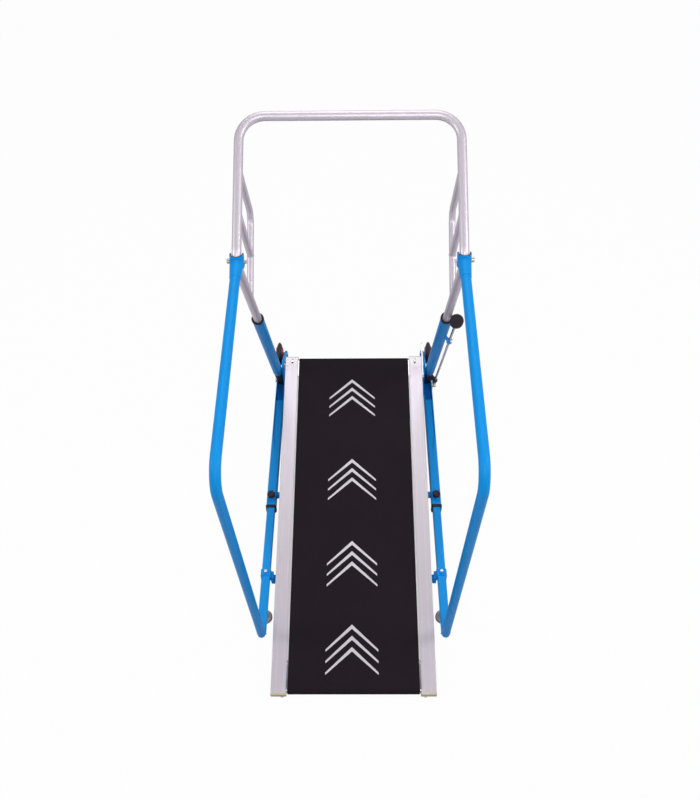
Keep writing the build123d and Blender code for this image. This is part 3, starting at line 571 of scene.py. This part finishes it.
@dataclass(frozen=True)
class Profile:
    """Cross-section of a member that a weld runs round: offsets along its two side directions."""

    offsets: tuple[tuple[float, float], ...]

    @staticmethod
    def round(radius: float, steps: int = 56) -> "Profile":
        """Circle of a tube, in mm."""
        turns = [2 * pi * step / steps for step in range(steps)]
        return Profile(tuple((radius * cos(turn), radius * sin(turn)) for turn in turns))

    @staticmethod
    def square(size: float, corner: float = 3.0, steps: int = 14) -> "Profile":
        """Rounded square of a box tube, in mm."""
        half = size / 2
        straight = half - corner
        offsets: list[tuple[float, float]] = []
        for quarter in range(4):
            turn = quarter * pi / 2
            for step in range(steps):
                slide = -straight + 2 * straight * step / steps
                u, v = half, slide
                offsets.append((u * cos(turn) - v * sin(turn), u * sin(turn) + v * cos(turn)))
            for step in range(4):
                angle = pi / 8 * step
                u = straight + corner * cos(angle)
                v = straight + corner * sin(angle)
                offsets.append((u * cos(turn) - v * sin(turn), u * sin(turn) + v * cos(turn)))
        return Profile(tuple(offsets))


@dataclass
class WeldBead:
    """Rippled bead of weld where one member meets another."""

    width: float = 2.6
    ripple: float = 0.16
    ring: int = 10

    def onto_tube(
        self, centre: Vector, way: Vector, profile: Profile, axis: Vector, radius: float
    ) -> list[Vector]:
        """Line of the bead where a member runs onto a round tube.

        Args:
            centre: point on the tube's axis that the member points at, in metres.
            way: direction in which the member leaves the tube.
            profile: the member's cross-section.
            axis: the tube's direction.
            radius: the tube's outer radius, in mm.

        Returns:
            The closed line's points, in metres.
        """
        first = axis.cross(way).normalized()
        second = way.cross(first).normalized()
        points = []
        for u, v in profile.offsets:
            start = (first * u + second * v) * MM
            flat_start = start - axis * start.dot(axis)
            flat_way = way - axis * way.dot(axis)
            a = flat_way.dot(flat_way)
            b = 2 * flat_start.dot(flat_way)
            c = flat_start.dot(flat_start) - (radius * MM) ** 2
            inside = max(b * b - 4 * a * c, 0.0)
            reach = (-b + sqrt(inside)) / (2 * a)
            points.append(centre + start + way * reach)
        return points

    def onto_plate(self, centre: Vector, way: Vector, radius: float, steps: int = 56) -> list[Vector]:
        """Line of the bead where a round tube meets a flat plate square on."""
        first = way.orthogonal().normalized()
        second = way.cross(first)
        turns = [2 * pi * k / steps for k in range(steps)]
        return [centre + (first * cos(t) + second * sin(t)) * radius * MM for t in turns]

    def build(self, name: str, line: list[Vector]) -> bpy.types.Object:
        """Sweeps the bead along a closed line.

        Args:
            name: name of the piece.
            line: the closed line's points.

        Returns:
            The bead.
        """
        dense: list[Vector] = []
        for place, point in enumerate(line):
            following = line[(place + 1) % len(line)]
            for step in range(3):
                dense.append(point.lerp(following, step / 3))
        mesh = bmesh.new()
        rings = []
        count = len(dense)
        middle = sum(dense, Vector()) / count
        for place, point in enumerate(dense):
            tangent = (dense[(place + 1) % count] - dense[place - 1]).normalized()
            out = point - middle
            out = (out - tangent * out.dot(tangent)).normalized()
            up = tangent.cross(out)
            swell = 1 + self.ripple * sin(2 * pi * place / 6.0) + 0.08 * sin(place * 0.71)
            size = self.width / 2 * swell * MM
            ring = []
            for k in range(self.ring):
                angle = 2 * pi * k / self.ring
                ring.append(mesh.verts.new(point + out * cos(angle) * size + up * sin(angle) * size))
            rings.append(ring)
        for place in range(count):
            here, there = rings[place], rings[(place + 1) % count]
            for k in range(self.ring):
                other = (k + 1) % self.ring
                mesh.faces.new((here[k], here[other], there[other], there[k]))
        return add_mesh(name, mesh)


BEAD = WeldBead()


def place_bead(name: str, line: list[Vector], body: str, finish: Finish) -> None:
    """Builds a weld bead, coats it and lets it ride on its body.

    Args:
        name: name of the bead.
        line: its closed line.
        body: CAD body that it rides on.
        finish: its finish.
    """
    bead = BEAD.build(name, line)
    PAINT.coat(bead, finish)
    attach(bead, body)
    LOG.info("weld %s on %s", name, body)


@dataclass
class BeltPrint:
    """Three nested arrowheads printed on the belt, pointing the way the walker faces."""

    width: float = 158.0
    height: float = 72.0
    stroke: float = 13.0
    spacing: float = 34.0
    count: int = 3
    thickness: float = 0.12
    segments: int = 14

    def outline(self, rise: float) -> tuple[list[tuple[float, float]], list[tuple[float, float]]]:
        """Upper and lower edges of one arrowhead, from left to right, in mm."""
        upper = []
        lower = []
        for step in range(-self.segments, self.segments + 1):
            x = self.width / 2 * step / self.segments
            crown = self.height * (1 - abs(step) / self.segments)
            taper = self.stroke * (1 - 0.45 * abs(step) / self.segments)
            upper.append((x, rise + crown + taper / 2))
            lower.append((x, rise + crown - taper / 2))
        return upper, lower

    def build(self, name: str, place: float, x: float, lift: float) -> bpy.types.Object:
        """Makes one print.

        Args:
            name: name of the piece.
            place: place of its centre along the deck, in mm.
            x: place across the deck, in mm.
            lift: height of the belt's face above the rails' top, in mm.

        Returns:
            The print, as a thin closed layer on the belt.
        """
        mesh = bmesh.new()
        low = -(self.height + self.spacing * (self.count - 1)) / 2
        for number in range(self.count):
            upper, lower = self.outline(low + number * self.spacing)
            layers = []
            for level in (lift, lift + self.thickness):
                edge = []
                for line in (upper, lower):
                    edge.append([mesh.verts.new(LAYOUT.on_deck(place + v, level, x + u)) for u, v in line])
                layers.append(edge)
            (down_up, down_low), (top_up, top_low) = layers
            last = len(upper) - 1
            for k in range(last):
                mesh.faces.new((top_up[k], top_up[k + 1], top_low[k + 1], top_low[k]))
                mesh.faces.new((down_up[k], down_low[k], down_low[k + 1], down_up[k + 1]))
                mesh.faces.new((down_up[k], down_up[k + 1], top_up[k + 1], top_up[k]))
                mesh.faces.new((down_low[k], top_low[k], top_low[k + 1], down_low[k + 1]))
            for k in (0, last):
                mesh.faces.new((down_up[k], top_up[k], top_low[k], down_low[k]))
        return add_mesh(name, mesh, smooth=False)


@dataclass
class WalkingDeck:
    """Rails, belt, rollers, board and their small parts, all on the folding deck."""

    body: str = "deck"
    print_places: tuple[float, ...] = (1004.0, 690.0, 398.0, 129.0)
    print_x: float = -5.0
    belt_face: float = 5.3
    marks: BeltPrint = field(default_factory=BeltPrint)

    def dress(self) -> None:
        """Gives every CAD node of the deck its finish."""
        for node in ("rail_left", "rail_right"):
            PAINT.dress(node, FINISHES.rail)
        for node in ("rear_end_plugs", "front_end_plugs"):
            PAINT.dress(node, FINISHES.beige)
        for node in ("deck_screws", "roller_axles", "axle_plates", "catch_bar"):
            PAINT.dress(node, FINISHES.steel)
        for node in ("front_roller_bearings", "rear_roller_bearings"):
            PAINT.dress(node, FINISHES.steel)
        for node in ("front_roller", "rear_roller"):
            PAINT.dress(node, FINISHES.acetal)
        PAINT.dress("deck_board", FINISHES.board)
        PAINT.dress("cross_members", FINISHES.member)
        PAINT.dress("belt", FINISHES.belt)

    def build(self) -> None:
        """Adds the belt's printed arrowheads."""
        for number, place in enumerate(self.print_places, start=1):
            mark = self.marks.build(f"belt_print_{number}", place, self.print_x, self.belt_face)
            PAINT.coat(mark, FINISHES.ink)
            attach(mark, self.body)
            LOG.info("belt print %d at %.0f mm", number, place)


@dataclass
class BaseFrame:
    """Channels, brackets, cross tubes, feet and bolts that stand still."""

    body: str = "base"
    inner_channel_x: float = 261.5
    bracket_x: float = 250.5
    middle_place: float = 540.0
    middle_radius: float = 11.0
    front_point: tuple[float, float] = (542.0, 62.0)
    front_radius: float = 12.5
    channel_back: float = 592.0
    collar_width: float = 36.0
    collar_bore: float = 26.6
    collar_rise: float = 1.5
    collar_depth: float = 8.0
    collar_corner: float = 5.0
    bore_corner: float = 3.2
    collar_steps: int = 10
    collar_lip: float = 0.8
    collar_seat: float = 0.5

    def dress(self) -> None:
        """Gives every CAD node of the base its finish."""
        for side in Side:
            PAINT.dress(side_name("lower_channel", side), FINISHES.blue)
            PAINT.dress(side_name("front_bracket", side), FINISHES.blue)
            PAINT.dress(side_name("clamp_knob", side), FINISHES.black)
        PAINT.dress("base_cross_tubes", FINISHES.blue)
        for node in ("deck_pivot_bolts", "foot_pivot_bolts", "wheel_axle_bolts", "rod_catch"):
            PAINT.dress(node, FINISHES.steel)
        PAINT.dress("front_feet", FINISHES.pad)

    def collar(self, side: Side) -> bpy.types.Object:
        """Makes a thin arched collar that closes a channel's mouth round its side tube.

        Args:
            side: side of the machine.

        Returns:
            The collar, a closed ring.
        """
        mesh = bmesh.new()
        outer = self.arch(self.collar_width, self.collar_rise)
        inner = Profile.square(self.collar_bore, self.bore_corner, self.collar_steps).offsets
        count = len(inner)
        way = LAYOUT.lower_way()
        above = Vector((0, way.z, -way.y))
        start = LAYOUT.at(LAYOUT.foot, side.value * LAYOUT.side_x)
        rings = []
        depth = self.collar_depth
        for loop, place in ((inner, 0.0), (outer, 0.0), (outer, depth), (inner, depth)):
            ring = []
            for number in range(count):
                x, rise = loop[number]
                lip = self.collar_lip if loop is outer and place > 0 else 0.0
                across = Vector((x - lip * (1 if x > 0 else -1), 0, 0))
                point = start + (across + above * (rise - lip * (1 if rise > 0 else 0))) * MM
                reach = self.channel_back + place - self.collar_seat
                ring.append(mesh.verts.new(point + way * reach * MM))
            rings.append(ring)
        for here, there in zip(rings, rings[1:] + rings[:1]):
            for number in range(count):
                other = (number + 1) % count
                mesh.faces.new((here[number], here[other], there[other], there[number]))
        return add_mesh(side_name("channel_collar", side), mesh, smooth=False)

    def arch(self, width: float, rise: float) -> list[tuple[float, float]]:
        """Closed outline with a rounded top, in step with the bore's points."""
        points = []
        for x, up in Profile.square(width, self.collar_corner, self.collar_steps).offsets:
            crown = rise * (1 - (2 * x / width) ** 2) if up > 0 else 0.0
            points.append((x, up + crown * min(1.0, 2 * up / width)))
        return points

    def build(self) -> None:
        """Adds the collars and the welds of both cross tubes."""
        collars = [self.collar(side) for side in Side]
        for collar in collars:
            PAINT.coat(collar, FINISHES.black)
            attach(collar, self.body)
            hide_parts("channel_collars")
            LOG.info("%s, %.0f mm deep", collar.name, self.collar_depth)
        middle = LAYOUT.at(LAYOUT.foot, 0) + LAYOUT.lower_way() * self.middle_place * MM
        for side in Side:
            across = Vector((side.value, 0, 0))
            ends = (
                ("middle_weld", middle, self.inner_channel_x, self.middle_radius),
                ("front_weld", LAYOUT.at(self.front_point, 0), self.bracket_x, self.front_radius),
            )
            for name, point, x, radius in ends:
                centre = point + across * (x - 0.4) * MM
                line = BEAD.onto_plate(centre, across, radius + 0.2)
                place_bead(side_name(name, side), line, self.body, FINISHES.blue)


@dataclass
class SideFrames:
    """Handrails with their legs, side tubes, forks, rest bar and rear feet."""

    body: str = "side_frames"
    tube_radius: float = 12.5
    box_tube: float = 26.0

    def dress(self) -> None:
        """Gives every CAD node of the side frames its finish."""
        for side in Side:
            for name in ("handrail", "side_tube", "fork"):
                PAINT.dress(side_name(name, side), FINISHES.blue)
        PAINT.dress("fork_liners", FINISHES.black)
        PAINT.dress("fork_bolts", FINISHES.steel)
        PAINT.dress("rest_bar", FINISHES.blue)
        PAINT.dress("rest_bar_clamps", FINISHES.blue)
        PAINT.dress("clamp_screws", FINISHES.steel)
        PAINT.dress("rear_foot_pads", FINISHES.pad)
        PAINT.dress("rear_foot_studs", FINISHES.steel)

    def build(self) -> None:
        """Adds the weld between each side tube and its rear leg."""
        way = -LAYOUT.lower_way()
        for side in Side:
            centre = LAYOUT.at(LAYOUT.rear, side.value * LAYOUT.side_x)
            profile = Profile.square(self.box_tube)
            line = BEAD.onto_tube(centre, way, profile, LAYOUT.leg_way(), self.tube_radius + 0.6)
            place_bead(side_name("leg_weld", side), line, self.body, FINISHES.blue)


@dataclass
class Uprights:
    """Outer sleeves of the uprights with their foot blocks, collars and lock rod fittings."""

    def dress(self) -> None:
        """Gives every CAD node of the uprights and the lock rod its finish."""
        for side in Side:
            PAINT.dress(side_name("upright_sleeve", side), FINISHES.blue)
        for node in ("foot_blocks", "sleeve_collars", "rod_guide", "rod_knob"):
            PAINT.dress(node, FINISHES.black)
        PAINT.dress("rod_hook", FINISHES.blue)
        for node in ("lock_rod", "rod_nuts"):
            PAINT.dress(node, FINISHES.rod)


@dataclass
class ReturnSpring:
    """Wound return spring of the lock rod, which shortens as the rod is pulled."""

    body: str = "uprights"
    rod_x: float = 300.5
    rod_back: float = 25.0
    bottom: float = 59.4
    rise: float = 27.2
    fixed_end: float = 88.0
    radius: float = 6.2
    wire: float = 1.1
    turns: int = 6
    kept_length: float = 0.5
    turn_steps: int = 40
    wire_steps: int = 14

    def build(self) -> None:
        """Winds the spring and shows it in place of the CAD spring."""
        mesh = bmesh.new()
        up = LAYOUT.upright_way()
        right = Vector((1, 0, 0))
        ahead = up.cross(right)
        start = LAYOUT.on_upright(self.bottom, self.rod_x) - ahead * self.rod_back * MM
        total = self.turns * self.turn_steps
        climb = up * self.rise / (2 * pi * self.turns)
        rings = []
        for step in range(total + 1):
            turn = 2 * pi * step / self.turn_steps
            outward = right * cos(turn) + ahead * sin(turn)
            along = (ahead * cos(turn) - right * sin(turn)) * self.radius + climb
            side = along.normalized().cross(outward)
            centre = start + (outward * self.radius + up * self.rise * step / total) * MM
            ring = []
            for number in range(self.wire_steps):
                angle = 2 * pi * number / self.wire_steps
                round_wire = outward * cos(angle) + side * sin(angle)
                ring.append(mesh.verts.new(centre + round_wire * self.wire * MM))
            rings.append(ring)
        for here, there in zip(rings, rings[1:]):
            for number in range(self.wire_steps):
                other = (number + 1) % self.wire_steps
                mesh.faces.new((here[number], here[other], there[other], there[number]))
        mesh.faces.new(rings[0])
        mesh.faces.new(rings[-1][::-1])
        piece = add_mesh("return_spring", mesh)
        PAINT.coat(piece, FINISHES.rod)
        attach(piece, self.body)
        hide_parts("rod_spring")
        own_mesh(piece)
        LOG.info("return spring of %d turns", self.turns)


@dataclass
class HandleBar:
    """The bent silver handle with the second grips and struts welded to it."""

    body: str = "handle"
    tube_radius: float = 12.0
    grip_radius: float = 9.0
    grip_reach: float = 243.0
    strut_reach: float = 135.0
    grip_low_place: float = 966.0
    knee: tuple[float, float] = (311.0, 1023.0)
    strut_low: tuple[float, float] = (217.0, 953.0)

    def dress(self) -> None:
        """Gives every CAD node of the handle its finish."""
        PAINT.dress("handle_tube", FINISHES.silver)
        PAINT.dress("grip_struts", FINISHES.silver)
        for side in Side:
            PAINT.dress(side_name("side_grip", side), FINISHES.silver)

    def build(self) -> None:
        """Adds the welds at both ends of each grip and strut."""
        for side in Side:
            x = side.value * LAYOUT.side_x
            arm = LAYOUT.handle_way()
            post = LAYOUT.upright_way()
            grip_top = LAYOUT.shoulder(x) + arm * self.grip_reach * MM
            grip_low = LAYOUT.on_upright(self.grip_low_place, x)
            knee = LAYOUT.at(self.knee, x)
            strut_top = LAYOUT.shoulder(x) + arm * self.strut_reach * MM
            strut_low = LAYOUT.at(self.strut_low, x)
            grip = Profile.round(self.grip_radius)
            joints = (
                ("grip_top_weld", grip_top, knee, arm, self.tube_radius),
                ("grip_low_weld", grip_low, knee, post, self.tube_radius),
                ("strut_top_weld", strut_top, strut_low, arm, self.tube_radius),
                ("strut_low_weld", strut_low, strut_top, (knee - grip_low).normalized(), self.grip_radius),
            )
            for name, centre, far, axis, radius in joints:
                way = (far - centre).normalized()
                line = BEAD.onto_tube(centre, way, grip, axis, radius)
                place_bead(side_name(name, side), line, self.body, FINISHES.silver)


@dataclass
class Wheels:
    """Transport wheels: a treaded tyre on a red hub at each side."""

    radius: float = 45.0
    width: float = 24.0
    inner_x: float = 266.5
    hub_radius: float = 27.0
    crown_steps: int = 16
    groove_steps: tuple[int, ...] = (3, 4)
    tread_depth: float = 1.1
    steps: int = 96

    def section(self) -> list[tuple[float, float]]:
        """Lentil-shaped section of the tyre as (across, radius) points in mm, from inner to outer bead."""
        half = self.width / 2
        reach = half * sqrt(1 - (self.hub_radius / self.radius) ** 2)
        points = []
        for step in range(-self.crown_steps, self.crown_steps + 1):
            across = reach * sin(pi / 2 * step / self.crown_steps)
            groove = self.tread_depth if abs(step) in self.groove_steps else 0.0
            points.append((across, self.radius * sqrt(1 - (across / half) ** 2) - groove))
        return points

    def tyre(self, side: Side) -> bpy.types.Object:
        """Turns the tyre's section about the axle and cuts its shoulder blocks.

        Args:
            side: side of the machine.

        Returns:
            The tyre.
        """
        mesh = bmesh.new()
        middle = side.value * (self.inner_x + self.width / 2)
        section = self.section()
        rings = []
        for step in range(self.steps):
            turn = 2 * pi * step / self.steps
            notch = self.tread_depth if step % 4 == 0 else 0.0
            ring = []
            for across, radius in section:
                shoulder = 5.5 < abs(across) < 8.6
                r = radius - (notch if shoulder else 0.0)
                y = LAYOUT.wheel[0] + r * cos(turn)
                z = LAYOUT.wheel[1] + r * sin(turn)
                ring.append(mesh.verts.new(Vector((middle + side.value * across, y, z)) * MM))
            rings.append(ring)
        for step in range(self.steps):
            here, there = rings[step], rings[(step + 1) % self.steps]
            for k in range(len(section)):
                other = (k + 1) % len(section)
                mesh.faces.new((here[k], here[other], there[other], there[k]))
        return add_mesh(side_name("treaded_tyre", side), mesh, smooth=False)

    def build(self) -> None:
        """Adds both tyres in place of their CAD nodes and dresses the hubs."""
        for side in Side:
            tyre = self.tyre(side)
            PAINT.coat(tyre, FINISHES.tyre)
            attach(tyre, side_name("wheel", side))
            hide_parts(side_name("wheel_tyre", side))
            PAINT.dress(side_name("wheel_hub", side), FINISHES.hub)
            LOG.info("tyre %s", side.name.lower())


@dataclass
class Studio:
    """Pale floor, soft lamps and the photograph's camera."""

    floor_size: float = 14.0
    floor_colour: Colour = (0.52, 0.51, 0.54)
    seen_floor: float = 0.975
    mirrored_floor: float = 0.25
    world_light: float = 0.22
    camera_place: tuple[float, float, float] = (0.0213, -1.6266, 2.5538)
    pitch: float = 50.329
    yaw: float = -0.992
    roll: float = -0.993
    focal_pixels: float = 875.8
    frame_width: float = 700.0

    def floor(self) -> None:
        """Lays a wide floor that shows white but keeps a soft shadow."""
        mesh = bmesh.new()
        bmesh.ops.create_grid(mesh, x_segments=8, y_segments=8, size=self.floor_size / 2)
        bmesh.ops.translate(mesh, verts=mesh.verts, vec=(0, 2.0, -0.0005))
        plane = add_mesh("studio_floor", mesh, smooth=False)
        material = bpy.data.materials.new("studio_floor")
        material.use_nodes = True
        tree = material.node_tree
        shader = tree.nodes["Principled BSDF"]
        shader.inputs["Base Color"].default_value = (*self.floor_colour, 1.0)
        shader.inputs["Roughness"].default_value = 0.9
        glow = tree.nodes.new("ShaderNodeEmission")
        glow.inputs["Color"].default_value = (1.0, 1.0, 1.0, 1.0)
        rays = tree.nodes.new("ShaderNodeLightPath")
        mirrored = tree.nodes.new("ShaderNodeMath")
        mirrored.operation = "MULTIPLY"
        mirrored.inputs[1].default_value = self.mirrored_floor
        tree.links.new(rays.outputs["Is Glossy Ray"], mirrored.inputs[0])
        seen = tree.nodes.new("ShaderNodeMath")
        seen.operation = "MULTIPLY"
        seen.inputs[1].default_value = self.seen_floor
        tree.links.new(rays.outputs["Is Camera Ray"], seen.inputs[0])
        share = tree.nodes.new("ShaderNodeMath")
        share.operation = "MAXIMUM"
        tree.links.new(seen.outputs[0], share.inputs[0])
        tree.links.new(mirrored.outputs[0], share.inputs[1])
        mix = tree.nodes.new("ShaderNodeMixShader")
        tree.links.new(share.outputs[0], mix.inputs[0])
        tree.links.new(shader.outputs[0], mix.inputs[1])
        tree.links.new(glow.outputs[0], mix.inputs[2])
        tree.links.new(mix.outputs[0], tree.nodes["Material Output"].inputs["Surface"])
        plane.data.materials.append(material)

    def world(self) -> None:
        """Sets a soft world that the camera sees as white."""
        world = bpy.data.worlds.new("studio")
        bpy.context.scene.world = world
        world.use_nodes = True
        tree = world.node_tree
        background = tree.nodes["Background"]
        background.inputs["Color"].default_value = (0.97, 0.97, 1.0, 1.0)
        background.inputs["Strength"].default_value = self.world_light
        white = tree.nodes.new("ShaderNodeBackground")
        white.inputs["Color"].default_value = (1.0, 1.0, 1.0, 1.0)
        white.inputs["Strength"].default_value = 1.0
        rays = tree.nodes.new("ShaderNodeLightPath")
        seen = tree.nodes.new("ShaderNodeMath")
        seen.operation = "MAXIMUM"
        tree.links.new(rays.outputs["Is Camera Ray"], seen.inputs[0])
        tree.links.new(rays.outputs["Is Transmission Ray"], seen.inputs[1])
        mix = tree.nodes.new("ShaderNodeMixShader")
        tree.links.new(seen.outputs[0], mix.inputs[0])
        tree.links.new(background.outputs[0], mix.inputs[1])
        tree.links.new(white.outputs[0], mix.inputs[2])
        tree.links.new(mix.outputs[0], tree.nodes["World Output"].inputs["Surface"])

    def lamp(self, name: str, place: Colour, target: Colour, size: float, power: float) -> None:
        """Adds a square soft lamp that points at a target.

        Args:
            name: name of the lamp.
            place: its place, in metres.
            target: the point it faces.
            size: its edge length, in metres.
            power: its power, in watts.
        """
        light = bpy.data.lights.new(name, "AREA")
        light.shape = "SQUARE"
        light.size = size
        light.energy = power
        lamp = bpy.data.objects.new(name, light)
        bpy.context.scene.collection.objects.link(lamp)
        lamp.location = place
        lamp.rotation_euler = (Vector(target) - Vector(place)).to_track_quat("-Z", "Y").to_euler()

    def camera(self) -> None:
        """Places the camera that was fitted to the deck and the side frames."""
        pitch, yaw, roll = radians(self.pitch), radians(self.yaw), radians(self.roll)
        forward = Vector((sin(yaw) * cos(pitch), cos(yaw) * cos(pitch), -sin(pitch)))
        level = forward.cross(Vector((0, 0, 1))).normalized()
        above = level.cross(forward)
        right = level * cos(roll) + above * sin(roll)
        up = above * cos(roll) - level * sin(roll)
        data = bpy.data.cameras.new("photo_camera")
        data.sensor_fit = "HORIZONTAL"
        data.sensor_width = 36.0
        data.lens = self.focal_pixels / self.frame_width * data.sensor_width
        data.clip_end = 100.0
        camera = bpy.data.objects.new("photo_camera", data)
        turned = Matrix((right, up, -forward)).transposed().to_4x4()
        camera.matrix_world = Matrix.Translation(self.camera_place) @ turned
        bpy.context.scene.collection.objects.link(camera)
        bpy.context.scene.camera = camera

    def build(self) -> None:
        """Builds floor, world, lamps and camera."""
        self.floor()
        self.world()
        self.lamp("left_softbox", (-2.8, -0.6, 2.2), (0.0, 0.0, 0.5), 1.3, 30.0)
        self.lamp("right_softbox", (2.8, -0.4, 2.6), (0.0, 0.0, 0.5), 1.5, 40.0)
        self.lamp("top_softbox", (0.0, 1.9, 3.3), (0.0, 0.2, 0.3), 2.0, 32.0)
        self.lamp("front_softbox", (0.3, -2.3, 3.0), (0.0, 0.0, 0.7), 1.6, 34.0)
        self.camera()
        bpy.context.scene.view_settings.view_transform = "Standard"


def main() -> None:
    """Builds the machine's sub-assemblies in order, then the studio."""
    logging.basicConfig(level=logging.INFO, format="%(name)s: %(message)s")
    builders: tuple[Callable[[], None], ...] = (
        WalkingDeck().dress,
        WalkingDeck().build,
        BaseFrame().dress,
        BaseFrame().build,
        SideFrames().dress,
        SideFrames().build,
        Uprights().dress,
        ReturnSpring().build,
        HandleBar().dress,
        HandleBar().build,
        Wheels().build,
        Studio().build,
    )
    for build in builders:
        build()


if __name__ == "__main__":
    main()
